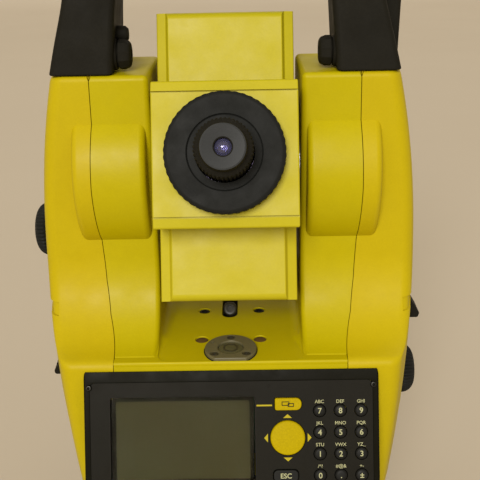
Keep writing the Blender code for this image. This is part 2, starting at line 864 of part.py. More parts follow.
def vertical_circle():
    """The glass circle on the end of the left trunnion."""
    profile = [(0, 66), (33, 66), (33, 64), (0, 64)]
    return piece(turned("vertical_circle", profile, rotation=LEFT, parent=TELESCOPE), "glass")


# The tribrach and the fixed base.


def rounded_triangle(reach, radius, steps=6):
    """A triangle with one corner to the rear, rounded about centres at the reach."""
    points = []
    for corner in range(3):
        middle = math.pi / 2 + corner * 2 * math.pi / 3
        for step in range(steps + 1):
            angle = middle + math.pi / 3 * (2 * step / steps - 1)
            x = reach * math.cos(middle) + radius * math.cos(angle)
            y = reach * math.sin(middle) + radius * math.sin(angle)
            points.append((x, y))
    return points


def foot_angles():
    return [math.pi / 2 + corner * 2 * math.pi / 3 for corner in range(3)]


def tribrach_base_plate():
    outline = rounded_triangle(FOOT_RADIUS, 17)
    plate = flat("tribrach_base_plate", [outline, circle(7.9, sides=32)], 6, (0, 0, 3))
    return piece(soften(plate, 1.0, 2, 60), "grey_metal")


def tribrach_body():
    body = flat("tribrach_body", [rounded_triangle(FOOT_RADIUS - 8, 21)], 19, (0, 0, TRIBRACH_TOP - 9.5))
    soften(body, 2.5, 2, 60)
    bore = cylinder("tribrach_bore", 33, TRIBRACH_TOP - 14, TRIBRACH_TOP + 5)
    floor_bore = cylinder("tribrach_floor_bore", 22, 20, TRIBRACH_TOP)
    cut(body, bore, floor_bore)
    for index, angle in enumerate(foot_angles()):
        place = (FOOT_RADIUS * math.cos(angle), FOOT_RADIUS * math.sin(angle), 0)
        cut(body, cylinder(f"foot_bore_{index}", 4.3, 20, 39, place, sides=24))
    cut(body, cylinder("clamp_bore", 5.3, 30, 80, (0, 0, TRIBRACH_TOP - 9.5), TO_EYEPIECE, sides=24))
    return piece(body, "grey_metal")


def foot_screw(index, angle):
    """A levelling screw: a ribbed wheel with its stem above and its foot on the base plate."""
    place = (FOOT_RADIUS * math.cos(angle), FOOT_RADIUS * math.sin(angle), 0)
    name = f"foot_screw_{index + 1}"
    wheel = flat(name, [ribbed_circle(13.5, 0.8, 14)], 12, place)
    wheel.data.transform(Matrix.Translation((0, 0, 16 * MM)))
    stem = cylinder(f"{name}_stem", 4.0, 6 + CLEARANCE, 37, place, sides=24)
    join(wheel, stem)
    return piece(wheel, "black_plastic")


def tribrach_clamp_knob():
    """The swivel knob that locks the instrument in the tribrach, on an axis along Y."""
    z = TRIBRACH_TOP - 9.5
    grip = block("tribrach_clamp_knob", (22, 9, 9), (0, 0, z), parent=None)
    grip.data.transform(Matrix.Translation((0, -56 * MM, 0)))
    soften(grip, 2.0, 2, 60)
    stem = cylinder("clamp_stem", 5.0, 35.5, 54, (0, 0, z), TO_EYEPIECE, sides=24)
    join(grip, stem)
    return piece(grip, "black_plastic")


def base_flange():
    """The instrument's fixed base, with the bush that the spindle turns in."""
    profile = [
        (SPINDLE_RADIUS + CLEARANCE, 60),
        (24, 60),
        (24, 57),
        (BASE_FLANGE_RADIUS - 2, 57),
        (BASE_FLANGE_RADIUS, 54),
        (BASE_FLANGE_RADIUS, TRIBRACH_TOP + CLEARANCE),
        (32.5, TRIBRACH_TOP + CLEARANCE),
        (32.5, TRIBRACH_TOP - 13.5),
        (21, TRIBRACH_TOP - 13.5),
        (21, 26),
        (SPINDLE_RADIUS + CLEARANCE, 26),
    ]
    return piece(turned("base_flange", profile, ring=True), "grey_metal")


def horizontal_circle():
    profile = [(24.5, 60), (36, 60), (36, 58), (24.5, 58)]
    return piece(turned("horizontal_circle", profile, ring=True), "glass")


def build_base():
    tribrach_base_plate()
    tribrach_body()
    for index, angle in enumerate(foot_angles()):
        foot_screw(index, angle)
    tribrach_clamp_knob()
    base_flange()
    horizontal_circle()


def build_alidade():
    yoke_frame()
    side_cover("left_side_cover", -1, BATTERY_DOOR)
    side_cover("right_side_cover", 1, DATA_DOOR)
    door("battery_door", -1, BATTERY_DOOR)
    door("data_door", 1, DATA_DOOR)
    drive_knob("vertical_drive_knob", -1, VERTICAL_DRIVE_Z)
    drive_knob("horizontal_drive_knob", 1, HORIZONTAL_DRIVE_Z)
    trigger_key()
    battery_latch()
    axis_spindle()
    bearing("left_bearing", -1)
    bearing("right_bearing", 1)
    main_board()
    battery()
    circular_level()
    carry_handle()
    handle_screw("handle_screw_left", -1)
    handle_screw("handle_screw_right", 1)


def build_keypad():
    keyboard_housing()
    rear_housing()
    keypad_panel()
    display()
    keys()


def build_telescope():
    telescope_housing()
    telescope_front_plate()
    focus_ring()
    eyepiece()
    objective()
    optical_sight()
    trunnion("trunnion_left", -1)
    trunnion("trunnion_right", 1)
    vertical_circle()


PANEL_CENTRE = (
    0.0,
    PANEL_TOP[0] - PANEL_HEIGHT / 2 * math.sin(PANEL_TILT),
    PANEL_TOP[1] - PANEL_HEIGHT / 2 * math.cos(PANEL_TILT),
)
ALIDADE = empty("alidade_frame", (0, 0, 0))
TELESCOPE = empty("telescope_frame", (0, 0, TILT_AXIS_Z), (-TELESCOPE_TILT, 0, 0), ALIDADE)
KEYPAD = empty("keypad_frame", PANEL_CENTRE, (-PANEL_TILT, 0, 0), ALIDADE)

build_base()
build_alidade()
build_keypad()
build_telescope()
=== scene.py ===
"""The looks of a surveying total station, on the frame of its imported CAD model.

Lengths are in millimetres, and the helpers turn them into metres. Pieces are modelled in one of three
frames: the instrument's own, the telescope's (origin on the tilting axis, -Y towards the eyepiece) and the
keypad's (origin in the middle of its face, +X right, +Z up the face, -Y out of it).
"""

import json
import math

import bmesh
import bpy
from mathutils import Matrix, Vector


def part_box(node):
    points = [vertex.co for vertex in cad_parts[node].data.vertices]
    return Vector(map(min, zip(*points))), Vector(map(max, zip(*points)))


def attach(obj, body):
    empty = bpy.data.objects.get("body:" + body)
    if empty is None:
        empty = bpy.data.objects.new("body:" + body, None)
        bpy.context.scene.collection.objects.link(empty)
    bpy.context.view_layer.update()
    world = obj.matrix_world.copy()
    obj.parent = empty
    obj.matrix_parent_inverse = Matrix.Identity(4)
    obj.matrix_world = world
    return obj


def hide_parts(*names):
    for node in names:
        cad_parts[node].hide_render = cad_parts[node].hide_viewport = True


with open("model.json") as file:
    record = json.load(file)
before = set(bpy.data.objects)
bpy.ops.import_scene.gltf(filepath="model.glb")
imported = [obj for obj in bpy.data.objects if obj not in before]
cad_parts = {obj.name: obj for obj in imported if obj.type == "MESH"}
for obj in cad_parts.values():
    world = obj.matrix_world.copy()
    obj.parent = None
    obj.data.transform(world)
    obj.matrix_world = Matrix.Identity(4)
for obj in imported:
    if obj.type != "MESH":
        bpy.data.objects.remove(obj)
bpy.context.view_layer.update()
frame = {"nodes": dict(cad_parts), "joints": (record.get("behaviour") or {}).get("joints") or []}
JOINTS = {joint["name"]: joint for joint in frame["joints"]}
MM = 0.001


def millimetres(vector):
    return Vector(vector) / MM


def node_box(name):
    """Lowest and highest corner of a CAD node, in millimetres."""
    low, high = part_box(name)
    return millimetres(low), millimetres(high)


def node_centre(name):
    low, high = node_box(name)
    return (low + high) / 2


def joint_place(name):
    return millimetres(JOINTS[name]["pos_m"])


def lean(name):
    """Angle from -Y, upwards, of a joint axis that lies in the plane of Y and Z."""
    axis = JOINTS[name]["axis"]
    return math.atan2(abs(axis[2]), abs(axis[1]))


# Driving dimensions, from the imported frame.
TILT_AXIS_Z = joint_place("telescope_tilt").z
BODY_LOW, BODY_HIGH = node_box("yoke_frame")
BODY_TOP = BODY_HIGH.z
BODY_BOTTOM = BODY_LOW.z
LEDGE_DEPTH = BODY_HIGH.y
HANDLE_LOW, HANDLE_HIGH = node_box("carry_handle")
TELESCOPE_LEAN = lean("eyepiece_turn")
PANEL_LEAN = lean("key_5_press")

# The alidade's body, as in the CAD model.
BODY_HALF_WIDTH = 94.0
WAIST_Z = 164.0
UPPER_DRAW, UPPER_SPAN = 10.7, 122.0
LOWER_DRAW, LOWER_SPAN = 7.5, 97.0
FOOT_DRAW, FOOT_SPAN, FOOT_START = 6.0, 13.0, 80.0
BOTTOM_DRAW, BOTTOM_SPAN = 9.0, 45.0
SIDE_DRAW, SIDE_SPAN = 3.0, 27.5
CORNER_RADIUS = 7.0
STANDARD_DEPTH = 27.8
LEDGE_Z = 162.2
SWEEP_TOP = 203.0
WALL = 3.5
FORK_HALF_WIDTH = 35.0
FLOOR_Z = 161.7
BOSS_RADIUS = 40.0
BOSS_INNER = 37.5
BOSS_OUTER = 72.0
SEAM_TOP = 62.0
SEAM_LEDGE = 55.6
SEAM_BENDS = ((59.4, 175.0), (61.3, 190.0), (62.4, 212.0), (62.9, TILT_AXIS_Z), (SEAM_TOP, BODY_TOP))
SEAM_GAP = 0.36
SOFT_LEDGE = 4.0
GROOVE_Z = 177.4
GROOVE_HEIGHT = 5.8
GROOVE_DEPTH = 1.0
GROOVE_START = 85.5
BAY_SIZE, BAY_CENTRE = (96.0, 92.0, 72.0), (0.0, 0.0, 112.0)
OPENING_SIZE, OPENING_CENTRE = (96.0, 40.0, 50.0), (0.0, -55.0, 122.0)
SPINDLE_BORE = 26.0
AXLE_BORE = 20.3
DRIVE_HOLE = 7.0
TRIGGER_SLOT = (15.2, 13.0)
LATCH_SLOT = (16.6, 13.8)
SIDE_CUTTER_WIDTH = 60.0
SIDE_CUTTER_X = 104.0
BATTERY_DOOR = (40.0, 78.0, 120.0)
DATA_DOOR = (20.0, 186.0, 224.0)
TRIGGER = node_centre("trigger_key")
LATCH = node_centre("battery_latch")

# The floor of the fork.
LEVEL_RADIUS = 12.6
LEVEL_Y = node_box("circular_level")[1].y - LEVEL_RADIUS
LEVEL_SEAT = 9.2
SCREW_REACH = 9.7
SCREW_ANGLES = (90, 218, 322)
SLOT_CENTRE = (-1.05, 1.5)
SLOT_SIZE = (8.3, 37.0)
SLIT_SIZE = (10.0, 0.7, 2.0)
SLIT_CENTRE = (-10.0, 3.8, FLOOR_Z)
PLUG = (14.5, -40.2)
FLOOR_SCREW = (14.5, -9.1)

# The keypad.
SHEET_WIDTH = 134.0
SHEET_HEIGHT = 63.0
DISPLAY_HEIGHT = 42.0
PANEL_SCREW = (67.4, 29.3)
LIGHT_SENSOR = (17.8, 29.2)
HOUSING_WIDTH = 140.0
HOUSING_FACE_TOP = 32.3
HOUSING_FACE_FOOT = -33.5
REAR_SCREW = (58.0, 22.0)

# The camera, in metres and degrees: yaw to the left, pitch below the horizon, roll.
CAMERA_PLACE = (0.0095, -0.3911, 0.3581)
CAMERA_YAW = 0.655
CAMERA_PITCH = 22.185
CAMERA_ROLL = -1.188

# Fineness of curved surfaces.
SWEEP_STEPS = 28
CORNER_STEPS = 8
FOOT_LEVELS = [BODY_BOTTOM + step * 5 for step in range(10)]

WORLD = Matrix.Identity(4)
TELESCOPE = Matrix.Translation((0, 0, TILT_AXIS_Z * MM)) @ Matrix.Rotation(-TELESCOPE_LEAN, 4, "X")
PANEL_NORMAL = Vector((0, -math.cos(PANEL_LEAN), math.sin(PANEL_LEAN)))
PANEL_FACE = node_centre("keypad_panel") + PANEL_NORMAL * 1.5
KEYPAD = Matrix.Translation(PANEL_FACE * MM) @ Matrix.Rotation(-PANEL_LEAN, 4, "X")

# Turns that point a flat or turned piece's local +Z along another axis.
UP = Matrix.Identity(4)
RIGHT = Matrix.Rotation(math.pi / 2, 4, "Y")
LEFT = Matrix.Rotation(-math.pi / 2, 4, "Y")
FRONT = Matrix.Rotation(math.pi / 2, 4, "X")
REAR = Matrix.Rotation(-math.pi / 2, 4, "X")
SIDE_VIEW = Matrix.Rotation(math.pi / 2, 4, "Z") @ Matrix.Rotation(math.pi / 2, 4, "X")


# Materials.


class Finish:
    """A material under construction: a Principled shader and the node patterns that drive it."""

    def __init__(self, name, colour, roughness, metallic=0.0, **sockets):
        self.material = bpy.data.materials.new(name)
        self.material.use_nodes = True
        self.tree = self.material.node_tree
        self.shader = self.tree.nodes["Principled BSDF"]
        self.place = self.tree.nodes.new("ShaderNodeTexCoord").outputs["Object"]
        self.colour = None
        self.height = None
        self.shader.inputs["Base Color"].default_value = (*colour, 1.0)
        self.shader.inputs["Roughness"].default_value = roughness
        self.shader.inputs["Metallic"].default_value = metallic
        for socket, value in sockets.items():
            self.shader.inputs[socket.replace("_", " ")].default_value = value

    def node(self, kind, **settings):
        made = self.tree.nodes.new(kind)
        for name, value in settings.items():
            setattr(made, name, value)
        return made

    def link(self, source, target):
        self.tree.links.new(source, target)

    def noise(self, size, detail=2.0, stretch=None, contrast=(0.0, 1.0)):
        """Noise with features of about the size, in millimetres, spread over 0 to 1."""
        pattern = self.node("ShaderNodeTexNoise")
        pattern.inputs["Scale"].default_value = 1.0 / (size * MM)
        pattern.inputs["Detail"].default_value = detail
        self.link(self.stretched(stretch), pattern.inputs["Vector"])
        return self.ranged(pattern.outputs["Fac"], 0.3, 0.7, *contrast)

    def cells(self, size, feature="F1", stretch=None):
        pattern = self.node("ShaderNodeTexVoronoi", feature=feature)
        pattern.inputs["Scale"].default_value = 1.0 / (size * MM)
        self.link(self.stretched(stretch), pattern.inputs["Vector"])
        return pattern.outputs["Distance"]

    def stretched(self, stretch):
        if stretch is None:
            return self.place
        mapping = self.node("ShaderNodeMapping")
        mapping.inputs["Scale"].default_value = stretch
        self.link(self.place, mapping.inputs["Vector"])
        return mapping.outputs["Vector"]

    def ranged(self, value, low, high, out_low, out_high):
        node = self.node("ShaderNodeMapRange")
        numbers = {"From Min": low, "From Max": high, "To Min": out_low, "To Max": out_high}
        for socket, number in numbers.items():
            node.inputs[socket].default_value = number
        self.link(value, node.inputs["Value"])
        return node.outputs["Result"]

    def tint(self, amount, colour):
        """Mixes a colour over what the base colour is so far, by a node value."""
        mix = self.node("ShaderNodeMix", data_type="RGBA")
        if self.colour is None:
            mix.inputs["A"].default_value = self.shader.inputs["Base Color"].default_value
        else:
            self.link(self.colour, mix.inputs["A"])
        mix.inputs["B"].default_value = (*colour, 1.0)
        self.link(amount, mix.inputs["Factor"])
        self.colour = mix.outputs["Result"]
        self.link(self.colour, self.shader.inputs["Base Color"])
        return self

    def rough(self, value, low, high):
        self.link(self.ranged(value, 0.0, 1.0, low, high), self.shader.inputs["Roughness"])
        return self

    def bump(self, value, height, strength=1.0):
        """Adds a relief of the height, in millimetres, on top of any relief so far."""
        node = self.node("ShaderNodeBump")
        node.inputs["Strength"].default_value = strength
        node.inputs["Distance"].default_value = height * MM
        self.link(value, node.inputs["Height"])
        if self.height is not None:
            self.link(self.height, node.inputs["Normal"])
        self.height = node.outputs["Normal"]
        self.link(self.height, self.shader.inputs["Normal"])
        return self


def scaled(colour, factor):
    return tuple(channel * factor for channel in colour)


def paint(name, colour, deeper, roughness=0.4, gloss=0.15):
    """Sprayed paint: slow drifts of shade, a fine orange peel and a few dull rubbed places."""
    finish = Finish(name, colour, roughness, Specular_IOR_Level=gloss)
    finish.tint(finish.noise(60, 2.0, contrast=(0.0, 0.55)), deeper)
    finish.tint(finish.noise(5, 4.0, contrast=(0.0, 0.22)), scaled(colour, 1.12))
    finish.tint(finish.noise(0.9, 1.0, contrast=(0.0, 0.14)), scaled(deeper, 0.8))
    finish.rough(finish.noise(14, 5.0), roughness - 0.06, roughness + 0.12)
    finish.bump(finish.noise(1.6, 2.0), 0.02, 0.6)
    finish.bump(finish.noise(0.45, 1.0), 0.006, 0.5)
    return finish.material


def moulded(name, colour, roughness, grain=0.5, relief=0.03, lighter=1.7, gloss=0.25):
    """Moulded plastic or rubber with a pebbled grain and slightly polished high spots."""
    finish = Finish(name, colour, roughness, Specular_IOR_Level=gloss)
    finish.tint(finish.noise(30, 3.0, contrast=(0.0, 0.5)), scaled(colour, lighter))
    finish.tint(finish.noise(grain * 2, 2.0, contrast=(0.0, 0.35)), scaled(colour, 0.6))
    finish.rough(finish.noise(9, 4.0), roughness - 0.07, roughness + 0.1)
    finish.bump(finish.cells(grain), relief, 0.5)
    finish.bump(finish.noise(grain * 0.6, 2.0), relief * 0.5, 0.4)
    return finish.material


def machined(name, colour, roughness, stretch=(1.0, 1.0, 14.0), brushed=0.7):
    """Machined or cast metal with fine lines across the stretched axis."""
    finish = Finish(name, colour, roughness, 1.0)
    lines = finish.noise(brushed, 3.0, stretch)
    finish.tint(finish.noise(12, 3.0, contrast=(0.0, 0.5)), scaled(colour, 0.72))
    finish.tint(lines, scaled(colour, 1.15))
    finish.rough(lines, roughness - 0.08, roughness + 0.12)
    finish.bump(lines, 0.01, 0.4)
    return finish.material


def clear_glass(name, tint, coating=(0.35, 0.3, 0.75)):
    finish = Finish(name, tint, 0.03, Transmission_Weight=0.85, IOR=1.5, Coat_Weight=0.6)
    finish.shader.inputs["Coat Tint"].default_value = (*coating, 1.0)
    finish.tint(finish.noise(3, 2.0, contrast=(0.0, 0.2)), scaled(tint, 0.8))
    finish.rough(finish.noise(2, 3.0), 0.02, 0.06)
    return finish.material


def make_materials():
    yellow = (0.475, 0.395, 0.0008)
    cover = (0.505, 0.395, 0.002)
    telescope = (0.49, 0.425, 0.010)
    made = {
        "yellow_paint": paint("yellow_paint", yellow, (0.44, 0.36, 0.0006)),
        "yellow_cover": paint("yellow_cover", cover, (0.47, 0.355, 0.0015), 0.46),
        "telescope_paint": paint("telescope_paint", telescope, (0.47, 0.395, 0.006), 0.4, 0.2),
        "black_plastic": moulded("black_plastic", (0.0125, 0.0115, 0.0085), 0.6, gloss=0.06),
        "housing_plastic": moulded("housing_plastic", (0.0065, 0.006, 0.003), 0.36, 0.4, 0.012, 1.5, 0.04),
        "keypad_face": moulded("keypad_face", (0.0105, 0.0095, 0.0065), 0.42, 0.35, 0.015, 1.4, 0.08),
        "black_rubber": moulded("black_rubber", (0.0115, 0.012, 0.011), 0.6, 0.7, 0.04, 1.4, 0.13),
        "key_rubber": moulded("key_rubber", (0.009, 0.009, 0.008), 0.5, 0.4, 0.02, 1.6, 0.15),
        "yellow_rubber": moulded("yellow_rubber", (0.45, 0.34, 0.001), 0.5, 0.4, 0.015, 1.1, 0.05),
        "brown_rubber": moulded("brown_rubber", (0.11, 0.062, 0.018), 0.6, 0.4, 0.03, 1.3),
        "level_bronze": moulded("level_bronze", (0.118, 0.104, 0.052), 0.45, 0.4, 0.01, 1.3, 0.5),
        "blued_steel": moulded("blued_steel", (0.034, 0.030, 0.018), 0.38, 0.3, 0.006, 1.6, 0.5),
        "cast_grey": moulded("cast_grey", (0.16, 0.165, 0.16), 0.5, 0.8, 0.05, 1.25),
        "steel": machined("steel", (0.55, 0.54, 0.51), 0.3),
        "dark_steel": machined("dark_steel", (0.11, 0.11, 0.105), 0.36),
        "eyepiece_face": moulded("eyepiece_face", (0.027, 0.029, 0.031), 0.42, 0.3, 0.008, 1.3, 0.3),
        "black_screw": machined("black_screw", (0.028, 0.027, 0.024), 0.34),
        "brass": machined("brass", (0.62, 0.44, 0.15), 0.3),
        "lens_glass": clear_glass("lens_glass", (0.75, 0.82, 0.85)),
        "circle_glass": clear_glass("circle_glass", (0.80, 0.86, 0.84), (0.8, 0.9, 0.8)),
        "eye_glass": clear_glass("eye_glass", (0.5, 0.52, 0.6)),
        "level_fluid": moulded("level_fluid", (0.088, 0.083, 0.040), 0.22, 0.5, 0.002, 1.2, 0.4),
        "legend": moulded("legend", (0.44, 0.44, 0.24), 0.55, 0.3, 0.005, 1.1),
        "yellow_print": moulded("yellow_print", (0.46, 0.38, 0.02), 0.55, 0.3, 0.005, 1.1, 0.1),
        # Near black: the page icon's print and the light sensor, and also the painted shadow round the level
        # and the painted shade on the clamp screw slot's floor.
        "near_black_and_painted_shade": moulded("near_black_and_painted_shade", (0.008, 0.007, 0.005), 0.8, 0.4, 0.02, 1.5),
    }
    made["screen"] = screen_material()
    made["window"] = window_material()
    made["board"] = board_material()
    return made


def screen_material():
    """The unlit liquid crystal: olive, greener in broad patches, with a faint fine grain."""
    finish = Finish("screen", (0.056, 0.050, 0.020), 0.35, Specular_IOR_Level=0.12)
    finish.tint(finish.noise(45, 1.0, contrast=(0.0, 0.6)), (0.052, 0.053, 0.027))
    finish.tint(finish.noise(0.5, 0.0, contrast=(0.0, 0.12)), (0.05, 0.046, 0.025))
    finish.rough(finish.noise(8, 3.0), 0.3, 0.42)
    finish.bump(finish.noise(0.6, 0.0), 0.003, 0.3)
    return finish.material


def window_material():
    """The clear cover over the display, with a little haze."""
    finish = Finish("window", (0.92, 0.92, 0.86), 0.06, Transmission_Weight=1.0, IOR=1.08)
    finish.tint(finish.noise(20, 3.0, contrast=(0.0, 0.4)), (0.86, 0.87, 0.8))
    finish.rough(finish.noise(7, 4.0), 0.03, 0.16)
    return finish.material


def board_material():
    finish = Finish("board", (0.02, 0.10, 0.04), 0.45)
    finish.tint(finish.noise(2.5, 0.0, (1.0, 1.0, 5.0), (0.0, 0.8)), (0.03, 0.16, 0.07))
    finish.rough(finish.noise(4, 2.0), 0.35, 0.6)
    finish.bump(finish.cells(1.2), 0.05, 0.5)
    return finish.material


MATERIALS = make_materials()


# Shapes. Each is made in millimetres and placed by a frame and a turn, so every object sits at the origin.


def made(name, bm, place=WORLD):
    bm.transform(place @ Matrix.Diagonal((MM, MM, MM, 1.0)))
    bmesh.ops.recalc_face_normals(bm, faces=bm.faces)
    if bm.calc_volume(signed=True) < 0:
        bmesh.ops.reverse_faces(bm, faces=bm.faces)
    mesh = bpy.data.meshes.new(name)
    bm.to_mesh(mesh)
    bm.free()
    obj = bpy.data.objects.new(name, mesh)
    bpy.context.scene.collection.objects.link(obj)
    return obj


def at(place, location=(0, 0, 0), turn=UP):
    """The frame moved to a location, in millimetres, and turned there."""
    return place @ Matrix.Translation(Vector(location) * MM) @ turn


def block(name, size, centre=(0, 0, 0), place=WORLD):
    bm = bmesh.new()
    bmesh.ops.create_cube(bm, size=1.0)
    bmesh.ops.scale(bm, vec=size, verts=bm.verts)
    bmesh.ops.translate(bm, vec=centre, verts=bm.verts)
    return made(name, bm, place)


def turned(name, profile, place=WORLD, sides=96, ring=False, ribs=None):
    """A shape turned about its local Z, from (radius, height) points. A ring's profile closes on itself.

    ribs is (radius beyond which grooves are cut, their depth, their number, steps in each).
    """
    if ribs:
        beyond, depth, count, steps = ribs
        sides = count * steps
    bm = bmesh.new()
    rows = []
    for radius, height in profile:
        if radius < 1e-6:
            rows.append([bm.verts.new((0, 0, height))] * sides)
            continue
        row = []
        for step in range(sides):
            angle = 2 * math.pi * step / sides
            reach = radius
            if ribs and radius > beyond:
                reach -= depth * abs(math.cos(math.pi * step / steps)) ** 3
            row.append(bm.verts.new((reach * math.cos(angle), reach * math.sin(angle), height)))
        rows.append(row)
    if ring:
        rows.append(rows[0])
    for upper, lower in zip(rows, rows[1:]):
        for step in range(sides):
            after = (step + 1) % sides
            corners = dict.fromkeys((upper[step], upper[after], lower[after], lower[step]))
            if len(corners) > 2:
                bm.faces.new(corners)
    return made(name, bm, place)


def cylinder(name, radius, low, high, place=WORLD, sides=96):
    return turned(name, [(0, high), (radius, high), (radius, low), (0, low)], place, sides)


def flat(name, outlines, thickness, place=WORLD):
    """A plate of the first outline with the others as holes, its thickness shared about local Z = 0."""
    curve = bpy.data.curves.new(name, "CURVE")
    curve.dimensions = "2D"
    curve.fill_mode = "BOTH"
    curve.extrude = thickness / 2
    for outline in outlines:
        spline = curve.splines.new("POLY")
        spline.points.add(len(outline) - 1)
        for point, (x, y) in zip(spline.points, outline):
            point.co = (x, y, 0.0, 1.0)
        spline.use_cyclic_u = True
    return mesh_of_curve(name, curve, place)


def mesh_of_curve(name, curve, place):
    guide = bpy.data.objects.new(name + "_guide", curve)
    bpy.context.scene.collection.objects.link(guide)
    graph = bpy.context.evaluated_depsgraph_get()
    mesh = bpy.data.meshes.new_from_object(guide.evaluated_get(graph))
    bm = bmesh.new()
    bm.from_mesh(mesh)
    bmesh.ops.remove_doubles(bm, verts=bm.verts, dist=0.001)
    bmesh.ops.dissolve_limit(bm, angle_limit=math.radians(0.3), verts=bm.verts, edges=bm.edges)
    bpy.data.objects.remove(guide)
    bpy.data.meshes.remove(mesh)
    return made(name, bm, place)


def lettering(name, text, size, place, thickness=0.12, weight=0.0):
    """Raised or printed characters, centred on the frame and facing its local Z."""
    curve = bpy.data.curves.new(name, "FONT")
    curve.body = text
    curve.size = size
    curve.align_x = "CENTER"
    curve.align_y = "CENTER"
    curve.extrude = thickness / 2
    curve.offset = weight
    curve.resolution_u = 3
    return mesh_of_curve(name, curve, place)


def loft(name, rings, place=WORLD):
    bm = bmesh.new()
    rows = [[bm.verts.new(point) for point in ring] for ring in rings]
    for lower, upper in zip(rows, rows[1:]):
        count = len(lower)
        for index in range(count):
            after = (index + 1) % count
            bm.faces.new((lower[index], lower[after], upper[after], upper[index]))
    bm.faces.new(list(reversed(rows[0])))
    bm.faces.new(rows[-1])
    return made(name, bm, place)


def applied(obj):
    """The object with its modifiers made part of its mesh."""
    graph = bpy.context.evaluated_depsgraph_get()
    mesh = bpy.data.meshes.new_from_object(obj.evaluated_get(graph))
    before = obj.data
    obj.modifiers.clear()
    obj.data = mesh
    bpy.data.meshes.remove(before)
    return obj


def combine(target, tools, operation):
    for tool in tools:
        boolean = target.modifiers.new("Combine", "BOOLEAN")
        boolean.operation = operation
        boolean.solver = "EXACT"
        boolean.object = tool
        applied(target)
        bpy.data.objects.remove(tool)
    return target


def cut(target, *tools):
    return combine(target, tools, "DIFFERENCE")


def join(target, *tools):
    return combine(target, tools, "UNION")


def keep(target, *tools):
    return combine(target, tools, "INTERSECT")


def copy(obj, name):
    twin = bpy.data.objects.new(name, obj.data.copy())
    bpy.context.scene.collection.objects.link(twin)
    return twin


def gather(target, *others):
    """Puts the others into the target's object as loose parts that keep their own materials."""
    bm = bmesh.new()
    bm.from_mesh(target.data)
    for other in others:
        first = len(bm.faces)
        bm.from_mesh(other.data)
        bm.faces.ensure_lookup_table()
        offset = len(target.data.materials)
        for face in bm.faces[first:]:
            face.material_index += offset
        for material in other.data.materials:
            target.data.materials.append(material)
        bpy.data.objects.remove(other)
    bm.to_mesh(target.data)
    bm.free()
    return target


def soften(obj, width, segments=4, angle=40, where=None):
    """Rounds the edges that are sharper than the angle, or only those whose middle passes the test."""
    bm = bmesh.new()
    bm.from_mesh(obj.data)
    sharp = []
    for edge in bm.edges:
        if len(edge.link_faces) != 2 or edge.calc_face_angle(0.0) < math.radians(angle):
            continue
        middle = (edge.verts[0].co + edge.verts[1].co) / 2 / MM
        if where is None or where(middle):
            sharp.append(edge)
    bmesh.ops.bevel(
        bm,
        geom=sharp,
        offset=width * MM,
        offset_type="OFFSET",
        segments=segments,
        profile=0.5,
        affect="EDGES",
        clamp_overlap=False,
    )
    bm.to_mesh(obj.data)
    bm.free()
    return obj


def coat(obj, material, angle=32):
    """Gives the whole object one material, and smooth shading with its sharp edges kept."""
    obj.data.materials.clear()
    obj.data.materials.append(MATERIALS[material])
    obj.data.shade_smooth()
    obj.data.set_sharp_from_angle(angle=math.radians(angle))
    weighted = obj.modifiers.new("Weighted normals", "WEIGHTED_NORMAL")
    weighted.keep_sharp = True
    return applied(obj)


def stand_for(obj, body, nodes=()):
    """The object rides on the body and stands for the CAD nodes."""
    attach(obj, body)
    if nodes:
        obj.name = nodes[0] + "_look"
        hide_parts(*nodes)
    return obj


# Outlines.


def arc(centre, radius, start, end, steps):
    """Points from the start angle to the end angle, in degrees."""
    points = []
    for step in range(steps + 1):
        angle = math.radians(start + (end - start) * step / steps)
        points.append((centre[0] + radius * math.cos(angle), centre[1] + radius * math.sin(angle)))
    return points


def circle(radius, centre=(0.0, 0.0), sides=48):
    return arc(centre, radius, 0, 360 * (sides - 1) / sides, sides - 1)


def rounded(corners, steps=6):
    """An outline through (x, y, radius) corners, each turned into an arc of its radius."""
    points = []
    for index, (x, y, radius) in enumerate(corners):
        here = Vector((x, y))
        before = (Vector(corners[index - 1][:2]) - here).normalized()
        after = (Vector(corners[(index + 1) % len(corners)][:2]) - here).normalized()
        half = before.angle(after) / 2
        if radius < 1e-6 or abs(half - math.pi / 2) < 0.01:
            points.append((x, y))
            continue
        centre = here + (before + after).normalized() * (radius / math.sin(half))
        start = here + before * (radius / math.tan(half)) - centre
        end = here + after * (radius / math.tan(half)) - centre
        for step in range(steps + 1):
            spoke = start.slerp(end, step / steps).normalized() * radius
            points.append(tuple(centre + spoke))
    return points


def rounded_rectangle(width, height, radius, centre=(0.0, 0.0), steps=6):
    x, y = width / 2, height / 2
    corners = [(x, y, radius), (-x, y, radius), (-x, -y, radius), (x, -y, radius)]
    return [(centre[0] + px, centre[1] + py) for px, py in rounded(corners, steps)]


def shifted(outline, centre):
    return [(x + centre[0], y + centre[1]) for x, y in outline]


def mirrored(outline):
    return [(-x, y) for x, y in reversed(outline)]


# The alidade's body.


def half_width(z):
    """Half the body's width at height z: widest at the waist, drawn in above it and below it."""
    rise = z - WAIST_Z
    if rise > 0:
        return BODY_HALF_WIDTH - UPPER_DRAW * (rise / UPPER_SPAN) ** 2.6
    foot = FOOT_DRAW * (max(0.0, FOOT_START - z) / FOOT_SPAN) ** 2
    return BODY_HALF_WIDTH - LOWER_DRAW * (-rise / LOWER_SPAN) ** 1.7 - foot


def side_draw(y):
    """How far a side has drawn in at the distance y in front of or behind its middle."""
    return SIDE_DRAW * (y / SIDE_SPAN) ** 1.9


def lower_depth(z):
    """Half the body's depth below the ledge, where it draws in towards the bottom."""
    rise = (z - BODY_BOTTOM) / BOTTOM_SPAN
    return LEDGE_DEPTH - BOTTOM_DRAW * max(0.0, 1 - rise) ** 3


